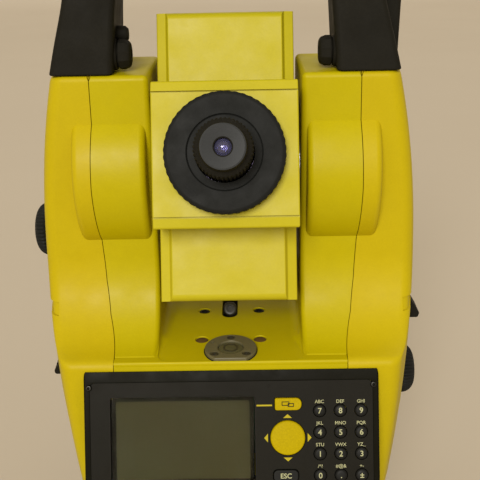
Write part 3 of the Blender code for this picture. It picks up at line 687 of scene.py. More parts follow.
def sweep(inset=0.0, steps=SWEEP_STEPS):
    """(height, half depth) points of the concave sweep, from the standards' face down to the ledge."""
    points = []
    for step in range(steps + 1):
        angle = math.pi / 2 * step / steps
        reach = (LEDGE_DEPTH - STANDARD_DEPTH) * (1 - math.cos(angle))
        depth = STANDARD_DEPTH + reach - inset * math.cos(angle)
        points.append((SWEEP_TOP - (SWEEP_TOP - LEDGE_Z + inset) * math.sin(angle), depth))
    return points


def sweep_height(y):
    """Height of the standards' outer surface at the distance y in front of or behind the tilting axis."""
    share = (abs(y) - STANDARD_DEPTH) / (LEDGE_DEPTH - STANDARD_DEPTH)
    if share <= 0:
        return BODY_TOP
    return SWEEP_TOP - (SWEEP_TOP - LEDGE_Z) * math.sqrt(1 - (1 - min(share, 1.0)) ** 2)


def body_levels(inset=0.0, edge=1.0, top_edge=2.6):
    """(height, half depth, narrowing) of each level of the body from bottom to top."""
    levels = [(z + inset, lower_depth(z) - inset) for z in FOOT_LEVELS]
    levels += [(z, LEDGE_DEPTH - inset) for z in (120, 135, 150)]
    ledge = arc((LEDGE_DEPTH - inset - edge, LEDGE_Z - inset - edge), edge, 0, 80, 4)
    levels += [(z, depth) for depth, z in ledge]
    limit = LEDGE_DEPTH - inset - edge - 0.4
    for z, depth in reversed(sweep(inset)):
        if depth < limit and z > levels[-1][0]:
            levels.append((z, depth))
    standards_top = BODY_TOP - inset - top_edge
    levels += [(z, STANDARD_DEPTH - inset) for z in range(210, 290, 7) if z < standards_top]
    narrow = [(z, depth, inset) for z, depth in levels]
    for rise, shrink in arc((0, 0), top_edge, 0, 90, 5):
        height = BODY_TOP - inset - top_edge + shrink
        drawn = top_edge - rise
        narrow.append((height, STANDARD_DEPTH - inset - drawn, inset + drawn))
    return narrow


def plan_outline(z, depth, narrowing, steps=CORNER_STEPS):
    """The body's plan at height z: curved sides, flat front and rear, rounded corners."""
    width = half_width(z) - narrowing
    radius = max(CORNER_RADIUS - narrowing, 2.0)
    straight = depth - radius
    side = [(width - side_draw(straight * n / 8), straight * n / 8) for n in range(1, 8)]
    corner = arc((width - side_draw(straight) - radius, straight), radius, 0, 90, steps)
    quadrant = side + corner
    half = [(width, 0.0)] + quadrant + mirrored(quadrant)
    return half + [(-width, 0.0)] + [(-x, -y) for x, y in quadrant + mirrored(quadrant)]


def body_loft(name, inset=0.0):
    """The body as the covers follow it, where the ledge's edge is soft."""
    rings = []
    for z, depth, narrowing in body_levels(inset, SOFT_LEDGE):
        rings.append([(x, y, z) for x, y in plan_outline(z, depth, narrowing)])
    return loft(name, rings)


def boss(side, inset=0.0, edge=3.2):
    """The round boss over one end of the tilting axis."""
    radius = BOSS_RADIUS - inset
    inner, outer = BOSS_INNER, BOSS_OUTER - inset
    profile = [(0, outer)] + arc((radius - edge, outer - edge), edge, 90, 0, 6)
    profile += arc((radius - edge, inner + edge), edge, 0, -90, 6) + [(0, inner)]
    turn = RIGHT if side > 0 else LEFT
    return turned(f"boss_{side}", profile, at(WORLD, (0, 0, TILT_AXIS_Z), turn), 144)


def seam_region(side, gap=SEAM_GAP / 2):
    """The region outside the seam on one side, or between the seams when side is 0."""
    right = [(SEAM_LEDGE, 40), (SEAM_LEDGE, LEDGE_Z), *SEAM_BENDS, (SEAM_TOP, 320)]
    if side:
        outline = [(side * (x + gap), z) for x, z in right] + [(side * 130, 320), (side * 130, 40)]
    else:
        inner = [(x - gap, z) for x, z in right]
        outline = inner + mirrored(inner)
    return flat(f"seam_region_{side}", [outline], 200, at(WORLD, turn=FRONT))


def upright(side):
    """One standard of the fork: its side view drawn out along X, rounded where it faces the fork."""
    face = [(STANDARD_DEPTH, BODY_TOP)]
    face += [(depth, z) for z, depth in sweep() if depth < LEDGE_DEPTH - 2.0]
    face += [(LEDGE_DEPTH - 4.0, 150)]
    outline = face + mirrored(face)
    inner, outer = FORK_HALF_WIDTH, SEAM_TOP + 8
    place = at(WORLD, (side * (inner + outer) / 2, 0, 0), SIDE_VIEW)
    standard = flat(f"upright_{side}", [outline], outer - inner, place)
    return soften(standard, 2.6, 5, 50, lambda middle: middle.z > LEDGE_Z + 0.2 and abs(middle.x) < outer - 1)


def lower_body():
    """The yoke below the ledge, with its rounded edge and the fine line under it."""
    rim = LEDGE_DEPTH
    side = [(lower_depth(z), z) for z in FOOT_LEVELS]
    side += [(rim, 160.1), (rim - 0.4, 160.3), (rim - 0.4, 160.7), (rim, 160.9)]
    side += arc((rim - 1.0, LEDGE_Z - 1.0), 1.0, 0, 90, 5)
    outline = side + mirrored(side)
    return flat("lower_body", [outline], 2 * (SEAM_TOP + 8), at(WORLD, turn=SIDE_VIEW))


def wall_fillet(side, largest=5.5):
    """The hollow corner between a standard's wall and the fork's floor, smaller where the wall is low."""
    wall = side * FORK_HALF_WIDTH
    rings = []
    for y in range(-58, 59, 2):
        radius = min(largest, 0.5 * (sweep_height(y) - FLOOR_Z))
        centre = (wall - side * radius, FLOOR_Z + radius)
        curve = arc(centre, radius, 270, 360 if side > 0 else 180, 6)
        back = wall + side * 2
        outline = curve + [(back, FLOOR_Z + radius), (back, FLOOR_Z - 2), (curve[0][0], FLOOR_Z - 2)]
        rings.append([(x, y, z) for x, z in outline])
    return loft(f"wall_fillet_{side}", rings)


def fork_floor(yoke):
    """The shallow pocket between the standards, with hollow corners along its walls."""
    outline = rounded_rectangle(2 * FORK_HALF_WIDTH, 124, 6)
    pocket = flat("pocket", [outline], 1, at(WORLD, (0, 0, FLOOR_Z + 0.5)))
    return join(cut(yoke, pocket), wall_fillet(-1), wall_fillet(1))


def floor_holes(yoke):
    """The level's seat and the screw holes in the floor of the fork."""
    seat = cylinder("seat", LEVEL_SEAT, 150, 170, at(WORLD, (0, LEVEL_Y, 0)))
    outline = rounded_rectangle(*SLOT_SIZE, SLOT_SIZE[0] / 2 - 0.05, SLOT_CENTRE)
    slot = flat("screw_slot", [outline], 12, at(WORLD, (0, 0, FLOOR_Z)))
    cut(yoke, seat, slot, block("slit", SLIT_SIZE, SLIT_CENTRE))
    plug_profile = [(0, 1), (4.1, 1), (3.3, -0.2), (3.3, -3.4), (0, -3.4)]
    screw_profile = [(0, 1), (3.9, 1), (3.0, -0.3), (3.0, -4), (0, -4)]
    for side in (-1, 1):
        for (x, y), profile in ((PLUG, plug_profile), (FLOOR_SCREW, screw_profile)):
            cut(yoke, turned("floor_hole", profile, at(WORLD, (side * x, y, FLOOR_Z)), 48))
    return yoke


def yoke_frame():
    yoke = join(lower_body(), upright(-1), upright(1), boss(-1), boss(1))
    keep(yoke, seam_region(0))
    floor_holes(fork_floor(yoke))
    bay = block("electronics_bay", BAY_SIZE, BAY_CENTRE)
    opening = block("keypad_opening", OPENING_SIZE, OPENING_CENTRE)
    spindle = cylinder("spindle_bore", SPINDLE_BORE, 50, 80)
    axle = cylinder("axle_bore", AXLE_BORE, -70, 70, at(WORLD, (0, 0, TILT_AXIS_Z), RIGHT))
    cut(yoke, bay, opening, spindle, axle)
    seam_notches(yoke)
    return stand_for(coat(yoke, "yellow_paint"), "alidade", ["yoke_frame"])


def seam_notches(part):
    """The small V cut where each seam meets the top."""
    for side in (-1, 1):
        for face in (-1, 1):
            corner = (side * SEAM_TOP, face * STANDARD_DEPTH, BODY_TOP)
            notch = flat("notch", [[(-1.5, 1), (1.5, 1), (0, -2.6)]], 5, at(WORLD, corner, FRONT))
            cut(part, notch)
    return part


def body_shell():
    """The whole outer skin of the body, from which covers and doors are taken."""
    shell = join(body_loft("shell"), boss(-1), boss(1))
    hollow = join(body_loft("hollow", WALL), boss(-1, WALL), boss(1, WALL))
    return cut(shell, hollow)


def door_block(side, limits, gap):
    half_depth, low, high = limits
    size = (SIDE_CUTTER_WIDTH, 2 * (half_depth - gap), high - low - 2 * gap)
    return block("door_block", size, (side * SIDE_CUTTER_X, 0, (low + high) / 2))


def corner_grooves(cover, side):
    """A short shallow groove round the cover's front and rear corners."""
    core = body_loft("core", GROOVE_DEPTH)
    for face in (-1, 1):
        centre = (side * (GROOVE_START + 8), face * 40, GROOVE_Z)
        groove = block("groove", (16, 40, GROOVE_HEIGHT), centre)
        cut(cover, cut(groove, copy(core, "core_copy")))
    bpy.data.objects.remove(core)


def side_cover(name, side, shell, door):
    cover = keep(copy(shell, name), seam_region(side))
    cut(cover, door_block(side, door, 0.0))
    turn = RIGHT if side > 0 else LEFT
    knob_z = joint_place("horizontal_drive_turn" if side > 0 else "vertical_drive_turn").z
    cut(cover, cylinder("drive_hole", DRIVE_HOLE, 70, 110, at(WORLD, (0, 0, knob_z), turn)))
    corner_grooves(cover, side)
    if side > 0:
        slot, centre = TRIGGER_SLOT, (SIDE_CUTTER_X, -2, TRIGGER.z)
    else:
        slot, centre = LATCH_SLOT, (-SIDE_CUTTER_X, 0, LATCH.z + 1.5)
    cut(cover, block("control_slot", (SIDE_CUTTER_WIDTH, *slot), centre))
    seam_notches(cover)
    return stand_for(coat(cover, "yellow_cover"), "alidade", [name])


def door(name, side, shell, limits):
    panel = keep(copy(shell, name), door_block(side, limits, 0.4))
    soften(panel, 0.4, 2, 60)
    return stand_for(coat(panel, "yellow_cover"), name, [name])


# Screws.


def socket_screw(name, radius, place, height=1.6, socket=0.5, sides=6):
    """A domed screw head with a hexagon socket, standing along local Z from the place."""
    edge = min(0.35 * radius, 0.45 * height)
    profile = [(0, height)] + arc((radius - edge, height - edge), edge, 90, 0, 4) + [(radius, 0), (0, 0)]
    head = turned(name, profile, place, 48)
    socket_radius = radius * socket
    dip = cylinder("socket", socket_radius, height * 0.3, height + 1, place, sides)
    return cut(head, dip)


def screws_row(name, places, radius, material, body):
    """Several screws as one piece."""
    heads = [coat(socket_screw(f"{name}_{i}", radius, place), material) for i, place in enumerate(places)]
    return stand_for(gather(heads[0], *heads[1:]), body, ())


# Controls on the sides.


def dome(steps):
    """(reach, rise) from the middle of a dome to its rim, as shares of its radius and height."""
    angles = [math.pi / 2 * step / steps for step in range(steps + 1)]
    return [(math.sin(angle), math.cos(angle)) for angle in angles]


def drive_knob(name, joint, side):
    low, high = node_box(name)
    z = joint_place(joint).z
    inner = half_width(z) + 0.6
    outer = max(abs(low.x), abs(high.x)) - 0.9
    radius = (high.z - low.z) / 2
    profile = [(0, outer - 1.0), (5.4, outer - 0.9), (6.0, outer - 0.4), (6.6, outer)]
    for share, rise in dome(10):
        profile.append((7.4 + (radius - 7.4) * share, inner + 1.0 + (outer - inner - 1.0) * rise))
    profile += [(radius - 0.8, inner), (5.0, inner), (5.0, 70), (0, 70)]
    turn = RIGHT if side > 0 else LEFT
    knob = turned(name, profile, at(WORLD, (0, 0, z), turn), ribs=(radius - 3.6, 0.7, 40, 6))
    return stand_for(coat(knob, "black_rubber", 40), name, [name])


def trigger_key():
    outline = [(80, 6, 0), (94.6, 6, 1.0), (100.4, -3.4, 1.6), (99.6, -6, 1.2), (80, -6, 0)]
    key = flat("trigger_key", [rounded(outline)], 14.4, at(WORLD, (0, TRIGGER.y, TRIGGER.z), FRONT))
    soften(key, 0.7, 3, 60)
    return stand_for(coat(key, "black_plastic"), "trigger_key", ["trigger_key"])


def battery_latch():
    outline = [(-84, 5, 0), (-94, 5, 1.2), (-99.6, -2.0, 1.8), (-98.9, -4.2, 1.2), (-84, -4.2, 0)]
    latch = flat("battery_latch", [rounded(outline)], 16, at(WORLD, (0, LATCH.y, LATCH.z), FRONT))
    soften(latch, 0.6, 3, 60)
    for rib in range(3):
        place = at(WORLD, (-97.2 - rib * 0.75, 0, LATCH.z + 2.6 - rib * 2), FRONT)
        join(latch, flat("ridge", [circle(0.5, sides=12)], 10, place))
    return stand_for(coat(latch, "black_plastic"), "battery_latch", ["battery_latch"])


# The floor of the fork.


def circular_level():
    """The flange with its flat front, the glass over the fluid, the bubble ring, three screws, and a dark
    sheet under the flange's rim that is painted shadow.
    """
    low, high = node_box("circular_level")
    top = high.z
    centre = (0, LEVEL_Y, 0)
    chord = low.y - LEVEL_Y
    half = math.degrees(math.acos(-chord / LEVEL_RADIUS))
    edge = arc((0, 0), LEVEL_RADIUS, 276 + half, 624 - half, 60)
    corner = LEVEL_RADIUS * math.sin(math.radians(half)) + 0.4
    front = [(*edge[-1], 0), (-corner, chord, 1.6), (corner, chord, 1.6), (*edge[0], 0)]
    outline = edge[1:-1] + rounded(front, 6)
    bottom = FLOOR_Z + 0.3
    flange = flat("circular_level", [outline], top - bottom, at(WORLD, (0, LEVEL_Y, (top + bottom) / 2)))
    soften(flange, 0.5, 4, 60, lambda middle: middle.z > top - 0.1)
    cup = cylinder("cup", 8.7, 152, top - 0.8, at(WORLD, centre), 72)
    join(flange, cup)
    profile = [(0, top + 1), (7.0, top + 1), (6.2, top - 0.5), (6.2, top - 3), (0, top - 3)]
    cut(flange, turned("window", profile, at(WORLD, centre), 64))
    for angle in SCREW_ANGLES:
        place = at(WORLD, polar(SCREW_REACH, angle, centre))
        cut(flange, cylinder("bore", 2.1, top - 0.9, top + 1, place, 32))
    cut(flange, cylinder("pin", 0.8, top - 1.1, top + 1, at(WORLD, polar(10.2, 152, centre)), 24))
    stand_for(coat(flange, "level_bronze"), "alidade", ["circular_level"])
    places = [at(WORLD, polar(SCREW_REACH, angle, (0, LEVEL_Y, top - 0.9))) for angle in SCREW_ANGLES]
    heads = [coat(socket_screw("head", 1.8, place, 0.8), "blued_steel") for place in places]
    stand_for(named(gather(heads[0], *heads[1:]), "level_screws"), "alidade", ())
    profile = [(0, top - 0.3), (3, top - 0.35), (6.0, top - 0.7), (6.0, top - 2.8), (0, top - 2.8)]
    glass = turned("level_glass", profile, at(WORLD, centre))
    stand_for(coat(glass, "level_fluid"), "alidade", ())
    profile = [(2.9, top - 0.25), (3.6, top - 0.3), (3.6, top - 0.6), (2.9, top - 0.6)]
    ring = turned("bubble_ring", profile, at(WORLD, centre), 64, True)
    stand_for(coat(ring, "blued_steel"), "alidade", ())
    # A dark sheet a little wider than the flange, under its edge: a painted shadow round the level.
    rim = [(x * 1.035, y * 1.035) for x, y in outline]
    painted_shadow_sheet = flat("level_painted_shadow_sheet", [rim], 0.3, at(WORLD, (0, LEVEL_Y, FLOOR_Z + 0.14)))
    stand_for(coat(painted_shadow_sheet, "near_black_and_painted_shade"), "alidade", ())


def polar(radius, degrees, centre):
    angle = math.radians(degrees)
    return (centre[0] + radius * math.cos(angle), centre[1] + radius * math.sin(angle), centre[2])


def named(obj, name):
    obj.name = name
    return obj


def floor_fittings():
    """The clamp screw in its slot, a dark sheet of painted shade on the slot's floor, the two countersunk
    screws and the two brown plugs.
    """
    tilt = Matrix.Rotation(math.radians(52), 4, "X")
    place = at(WORLD, (SLOT_CENTRE[0], -2.0, FLOOR_Z - 3.0), tilt)
    clamp = socket_screw("clamp_screw", 3.9, place, 2.8, 0.52)
    stand_for(coat(clamp, "blued_steel"), "alidade", ())
    # A dark sheet on the slot's floor: painted shade deep in the slot.
    shade_sheet_size = (SLOT_SIZE[0] - 0.5, SLOT_SIZE[1] - 0.5)
    outline = rounded_rectangle(*shade_sheet_size, shade_sheet_size[0] / 2 - 0.05, SLOT_CENTRE)
    shade_sheet = flat("slot_shade_sheet", [outline], 0.6, at(WORLD, (0, 0, FLOOR_Z - 5.6)))
    stand_for(coat(shade_sheet, "near_black_and_painted_shade"), "alidade", ())
    heads = []
    for side in (-1, 1):
        place = at(WORLD, (FLOOR_SCREW[0] * side, FLOOR_SCREW[1], FLOOR_Z - 1.7))
        heads.append(coat(socket_screw(f"floor_screw_{side}", 2.9, place, 1.3, 0.6), "black_screw"))
    stand_for(named(gather(*heads), "floor_screws"), "alidade", ())
    plugs = []
    for side in (-1, 1):
        place = at(WORLD, (PLUG[0] * side, PLUG[1], FLOOR_Z - 1.5))
        profile = [(0, 1.3), (2.4, 1.25), (3.0, 0.9), (3.15, 0), (0, 0)]
        plugs.append(coat(turned(f"plug_{side}", profile, place, 48), "brown_rubber"))
    stand_for(named(gather(*plugs), "floor_plugs"), "alidade", ())


# The keypad.

KEY_BACK = -4.4
KEY_PROUD = 1.0
DIGITS = {f"key_{digit}": str(digit) for digit in range(10)} | {"key_point": ".", "key_sign": "±"}
LETTERS = {
    "key_7": "ABC", "key_8": "DEF", "key_9": "GHI",
    "key_4": "JKL", "key_5": "MNO", "key_6": "PQR",
    "key_1": "STU", "key_2": "VWX", "key_3": "YZ_",
    "key_0": "/*?", "key_point": "#@&", "key_sign": "+-",
}
KEY_OUTLINES = {
    "page_key": rounded([(6.3, 2.9, 2.6), (-6.3, 2.9, 0.9), (-6.3, -2.9, 0.9), (6.3, -2.9, 2.6)]),
    "escape_key": rounded_rectangle(11.8, 5.7, 2.2),
    **{f"function_key_{number}": rounded_rectangle(9.5, 5.6, 2.2) for number in range(1, 5)},
}
KEY_RADII = {"navigation_key": 8.2, **{name: 2.85 for name in DIGITS}}


def on_panel(name):
    """A node's centre in the keypad's frame, as (x, z) in millimetres."""
    local = KEYPAD.inverted() @ (node_centre(name) * MM) / MM
    return local.x, local.z


def panel_place(x, z, proud=0.0):
    return at(KEYPAD, (x, -proud, z), FRONT)


def key_body(name):
    x, z = on_panel(name)
    if name in KEY_RADII:
        radius = KEY_RADII[name]
        profile = [(0, KEY_PROUD), (radius * 0.45, KEY_PROUD - 0.03), (radius - 0.75, KEY_PROUD - 0.12)]
        profile += [(radius - 0.3, KEY_PROUD - 0.35), (radius, KEY_PROUD - 0.8)]
        profile += [(radius, KEY_BACK), (0, KEY_BACK)]
        return turned(name, profile, panel_place(x, z), 64)
    thickness = KEY_PROUD - KEY_BACK
    key = flat(name, [KEY_OUTLINES[name]], thickness, panel_place(x, z, (KEY_PROUD + KEY_BACK) / 2))
    return soften(key, 0.5, 4, 60)


def page_icon(x, z):
    """Two overlapping page outlines."""
    marks = []
    for dx, dz, width, height in ((-1.3, 0.35, 3.6, 2.0), (1.2, -0.35, 2.9, 1.8)):
        outer = rounded_rectangle(width, height, 0.2)
        inner = rounded_rectangle(width - 0.7, height - 0.7, 0.1)
        marks.append(flat("page", [outer, inner], 0.1, panel_place(x + dx, z + dz, KEY_PROUD + 0.02)))
    return gather(coat(marks[0], "near_black_and_painted_shade"), coat(marks[1], "near_black_and_painted_shade"))


def keys():
    for name in [*KEY_RADII, *KEY_OUTLINES]:
        x, z = on_panel(name)
        yellow = name in ("page_key", "navigation_key")
        key = coat(key_body(name), "yellow_rubber" if yellow else "key_rubber")
        if name in DIGITS:
            text = lettering("mark", DIGITS[name], 3.7, panel_place(x, z, KEY_PROUD), 0.12, 0.05)
            gather(key, coat(text, "legend"))
        elif name == "page_key":
            gather(key, page_icon(x, z))
        elif name != "navigation_key":
            label = "ESC" if name == "escape_key" else "F" + name[-1]
            text = lettering("mark", label, 3.3, panel_place(x, z, KEY_PROUD), 0.12, 0.05)
            gather(key, coat(text, "legend"))
        stand_for(key, name, [name])


def key_letters():
    texts = []
    for name, letters in LETTERS.items():
        x, z = on_panel(name)
        text = lettering("letters", letters, 2.25, panel_place(x, z + 4.25), 0.06, 0.02)
        texts.append(coat(text, "legend"))
    stand_for(named(gather(texts[0], *texts[1:]), "key_letters"), "alidade", ())


def panel_marks():
    """The arrows round the big key and the line beside the page key."""
    x, z = on_panel("navigation_key")
    marks = []
    for quarter in range(4):
        turn = FRONT @ Matrix.Rotation(math.pi / 2 * quarter, 4, "Z")
        arrow = [(-2.1, 9.4), (2.1, 9.4), (0, 11.2)]
        marks.append(flat("arrow", [arrow], 0.06, at(KEYPAD, (x, 0, z), turn)))
    page_x, page_z = on_panel("page_key")
    line = rounded_rectangle(7.4, 0.75, 0.2)
    marks.append(flat("page_line", [line], 0.06, panel_place(page_x - 11.3, page_z - 0.6)))
    marks = [coat(mark, "yellow_print") for mark in marks]
    stand_for(named(gather(marks[0], *marks[1:]), "panel_marks"), "alidade", ())


def keypad_panel():
    holes = []
    for name, outline in KEY_OUTLINES.items():
        width = max(x for x, _ in outline)
        wider = [(x * (1 + 0.35 / width), z * (1 + 0.6 / width)) for x, z in outline]
        holes.append(shifted(wider, on_panel(name)))
    holes += [circle(radius + 0.35, on_panel(name)) for name, radius in KEY_RADII.items()]
    low, high = node_box("display_window")
    width = high.x - low.x
    x, z = on_panel("display_window")
    holes.append(rounded_rectangle(width + 0.7, DISPLAY_HEIGHT, 1.5, (x, z)))
    sheet = rounded_rectangle(SHEET_WIDTH, SHEET_HEIGHT, 2.5)
    panel = flat("keypad_panel", [sheet, *holes], 3.0, panel_place(0, 0, -1.5))
    stand_for(coat(panel, "keypad_face"), "alidade", ["keypad_panel"])
    edge = rounded_rectangle(width, DISPLAY_HEIGHT - 0.7, 1.2, (x, z))
    opening = rounded_rectangle(width - 4.2, DISPLAY_HEIGHT - 4.6, 0.8, (x, z))
    mask = flat("display_mask", [edge, opening], 0.3, panel_place(0, 0, -2.1))
    stand_for(coat(mask, "keypad_face"), "alidade", ())
    window = flat("display_window", [edge], 1.2, panel_place(0, 0, -1.2))
    coat(soften(window, 0.25, 2, 60), "window")
    stand_for(window, "alidade", ["display_window"])
    corners = [(side * PANEL_SCREW[0], up * PANEL_SCREW[1]) for side in (-1, 1) for up in (-1, 1)]
    places = [panel_place(x, z, -0.6) for x, z in corners]
    screws_row("panel_screws", places, 1.5, "black_screw", "alidade")
    profile = [(0, 0.12), (0.7, 0.1), (1.0, -0.1), (1.0, -0.4), (0, -0.4)]
    sensor = turned("light_sensor", profile, panel_place(*LIGHT_SENSOR), 32)
    stand_for(coat(sensor, "near_black_and_painted_shade"), "alidade", ())


def housing_outline():
    """Side view of a keypad housing: back, bevel over the face, face and chin."""
    face = KEYPAD @ Vector((0, 0, HOUSING_FACE_TOP * MM)) / MM
    foot = KEYPAD @ Vector((0, 0, HOUSING_FACE_FOOT * MM)) / MM
    back = node_box("keyboard_housing")[1].y
    return [
        (back, LEDGE_Z - 3.9, 0),
        (face.y, face.z, 0),
        (foot.y, foot.z, 1.6),
        (foot.y + 2.5, foot.z - 6, 2.5),
        (back - 14, foot.z - 13, 2.5),
        (back, foot.z - 13, 1.2),
    ]


def keyboard_housing():
    outline = rounded(housing_outline())
    housing = flat("keyboard_housing", [outline], HOUSING_WIDTH, at(WORLD, turn=SIDE_VIEW))
    soften(housing, 0.9, 4, 60)
    outline = rounded_rectangle(SHEET_WIDTH + 0.4, SHEET_HEIGHT + 0.4, 2.6)
    seat = flat("seat", [outline], 24, at(KEYPAD, (0, 11, 0), FRONT))
    mouth = block("mouth", (92, 20, 46), (0, -62, 122))
    cut(housing, seat, mouth)
    stand_for(coat(housing, "housing_plastic"), "alidade", ["keyboard_housing"])


def rear_housing():
    """The blank housing behind, with a groove round a panel, its screws and a cooling grille."""
    outline = [(-y, z, radius) for y, z, radius in reversed(housing_outline())]
    housing = flat("rear_housing", [rounded(outline)], HOUSING_WIDTH - 1.0, at(WORLD, turn=SIDE_VIEW))
    soften(housing, 1.0, 4, 60)
    rear_face = Matrix.Rotation(math.pi, 4, "Z") @ KEYPAD
    outer = rounded_rectangle(126, 54, 4)
    inner = rounded_rectangle(124.6, 52.6, 3.4)
    line = flat("line", [outer, inner], 1.2, at(rear_face, (0, 0, 0), FRONT))
    cut(housing, line)
    for row in range(5):
        slat = rounded_rectangle(44, 1.6, 0.8, (0, -12 - row * 3.2))
        cut(housing, flat("slat", [slat], 3.0, at(rear_face, (0, 0, 0), FRONT)))
    stand_for(coat(housing, "housing_plastic"), "alidade", ["rear_housing"])
    corners = [(side * REAR_SCREW[0], 0.3, up * REAR_SCREW[1]) for side in (-1, 1) for up in (-1, 1)]
    places = [at(rear_face, corner, FRONT) for corner in corners]
    screws_row("rear_screws", places, 2.0, "dark_steel", "alidade")


# The carrying handle.


def between(stations, steps=5):
    """Stations along a smooth curve through the given ones, which are tuples of numbers."""
    points = []
    last = len(stations) - 1
    for index in range(last):
        before, start = stations[max(index - 1, 0)], stations[index]
        end, after = stations[index + 1], stations[min(index + 2, last)]
        for step in range(steps):
            t = step / steps
            weights = (
                (-t + 2 * t**2 - t**3) / 2,
                (2 - 5 * t**2 + 3 * t**3) / 2,
                (t + 4 * t**2 - 3 * t**3) / 2,
                (-(t**2) + t**3) / 2,
            )
            four = (before, start, end, after)
            points.append(tuple(sum(w * s[n] for w, s in zip(weights, four)) for n in range(len(start))))
    return points + [stations[last]]


def handle_stations():
    """(outer x, outer z, inner x, inner z, half depth) from the right foot up to the middle of the grip."""
    foot = HANDLE_LOW.z
    top = HANDLE_HIGH.z
    under = 336.5
    return [
        (80.4, foot, 51.0, foot, 27.4),
        (77.2, foot + 13, 50.0, foot + 13, 25.8),
        (72.8, foot + 30, 48.4, foot + 31, 23.0),
        (70.4, foot + 44, 46.6, foot + 39.5, 20.4),
        (66.4, top - 13, 43.8, under - 1.6, 18.2),
        (59.6, top - 5.4, 40.6, under - 0.4, 16.2),
        (50.0, top - 1.2, 36.0, under, 15.2),
        (38.0, top, 30.0, under, 15.0),
        (16.0, top, 14.0, under, 15.0),
        (0.0, top, 0.0, under, 15.0),
    ]


def handle_ring(station, grow=0.0, corner=3.0):
    outer_x, outer_z, inner_x, inner_z, depth = station
    outer, inner = Vector((outer_x, outer_z)), Vector((inner_x, inner_z))
    middle = (outer + inner) / 2
    along = (outer - inner).normalized()
    section = rounded_rectangle((outer - inner).length + 2 * grow, 2 * (depth + grow), corner, steps=5)
    drawn = 2.2 * min(1.0, max(0.0, (abs(inner_x) - 40) / 6)) / depth
    ring = []
    for p, q in section:
        if p < 0:
            p += drawn * max(q, 0.0)
        ring.append((middle.x + along.x * p, q, middle.y + along.y * p))
    return ring


def mirrored_station(station):
    outer_x, outer_z, inner_x, inner_z, depth = station
    return (-outer_x, outer_z, -inner_x, inner_z, depth)


def carry_handle():
    right = between(handle_stations())
    stations = [mirrored_station(station) for station in right][:-1] + right[::-1]
    handle = loft("carry_handle", [handle_ring(station) for station in stations])
    foot = HANDLE_LOW.z
    soften(handle, 0.8, 3, 60, lambda middle: middle.z < foot + 0.05)
    fin = [(66, foot + 1, 2.5), (83.6, foot + 2, 2.5), (84.0, foot + 28, 6)]
    fin += [(78, foot + 48, 10), (62, foot + 52, 2.5)]
    fin_piece = flat("fin", [rounded(fin)], 20, at(WORLD, (0, 13, 0), FRONT))
    join(handle, soften(fin_piece, 1.8, 4, 60))
    screw = joint_place("handle_screw_left_turn")
    for side, direction in ((-1, RIGHT), (1, LEFT)):
        place = at(WORLD, (side * 50.4, screw.y, screw.z), direction)
        collar = turned("collar", [(0, 0.9), (6.6, 0.9), (7.2, 0.2), (7.2, -4), (0, -4)], place, 64)
        join(handle, collar)
    profile = [(0, 5.6), (2.6, 5.4), (3.7, 4.2), (3.9, 1.0), (3.9, -4), (0, -4)]
    pin = turned("pin", profile, at(WORLD, (-50.2, -10, foot + 16), RIGHT), 12)
    join(handle, pin)
    stand_for(coat(handle, "black_plastic", 40), "alidade", ["carry_handle"])
    handle_grip(stations)


def handle_grip(stations):
    """A ribbed rubber sleeve round the middle of the grip."""
    middle = [station for station in stations if abs(station[0]) < 39]
    start, end = middle[0], middle[-1]
    rings = []
    count = 110
    for step in range(count + 1):
        share = step / count
        station = tuple(a + (b - a) * share for a, b in zip(start, end))
        edge = min(share, 1 - share) * count
        groove = 0.35 * (step % 6 in (4, 5))
        rings.append(handle_ring(station, min(0.7, 0.25 + 0.2 * edge) - groove, 3.6))
    sleeve = loft("handle_grip", rings)
    stand_for(coat(sleeve, "black_rubber", 40), "alidade", ())


def handle_screw(name, side):
    low, high = node_box(name)
    radius = (high.z - low.z) / 2
    length = high.x - low.x
    start = side * max(abs(low.x), abs(high.x))
    centre = joint_place(name + "_turn")
    place = at(WORLD, (start, centre.y, centre.z), RIGHT if side < 0 else LEFT)
    profile = [(0, length), (radius - 2.6, length)] + arc((radius - 2.6, length - 2.2), 2.2, 80, 10, 4)
    profile += [(radius, length - 3.0), (radius, 0.8), (radius - 0.8, 0), (0, 0)]
    knob = turned(name, profile, place, 10)
    hollow = [(0, length + 1), (2.6, length + 1), (2.0, length - 0.8), (0, length - 0.9)]
    dip = turned("dip", hollow, place, 48)
    coat(cut(knob, dip), "black_plastic", 28)
    stand_for(knob, name, [name])


# The telescope.

SCOPE_HALF_WIDTH = 32.2
WING_FRONT = 32.7
WING_HALF_HEIGHT = 66.5
WING_TOP = 69.3
WING_EDGE = 3.6
PLATE_HALF_HEIGHT = 32.3
BARREL_FRONT = 55.0
PLATE_FRONT = 59.5
PLATE_LINE = 27.4
FOCUS_RADIUS = 26.4
FOCUS_FRONT = 68.7
EYEPIECE_RADIUS = 12.5
EYEPIECE_FRONT = 92.8
OBJECTIVE_RADIUS = 24.0
OBJECTIVE_FRONT = 70.0


def wing_plan():
    """The telescope's plan: flat faces between narrow strips that are set back at the corners."""
    width, front = SCOPE_HALF_WIDTH, WING_FRONT
    right = [(width, -front + 3.6, 0.7), (width - 4.4, -front + 2.6, 0.6), (width - 5.6, -front, 0.7)]
    near = right + [(-x, y, radius) for x, y, radius in reversed(right)]
    far = [(x, -y, radius) for x, y, radius in reversed(near)]
    return rounded(near + far, 4)


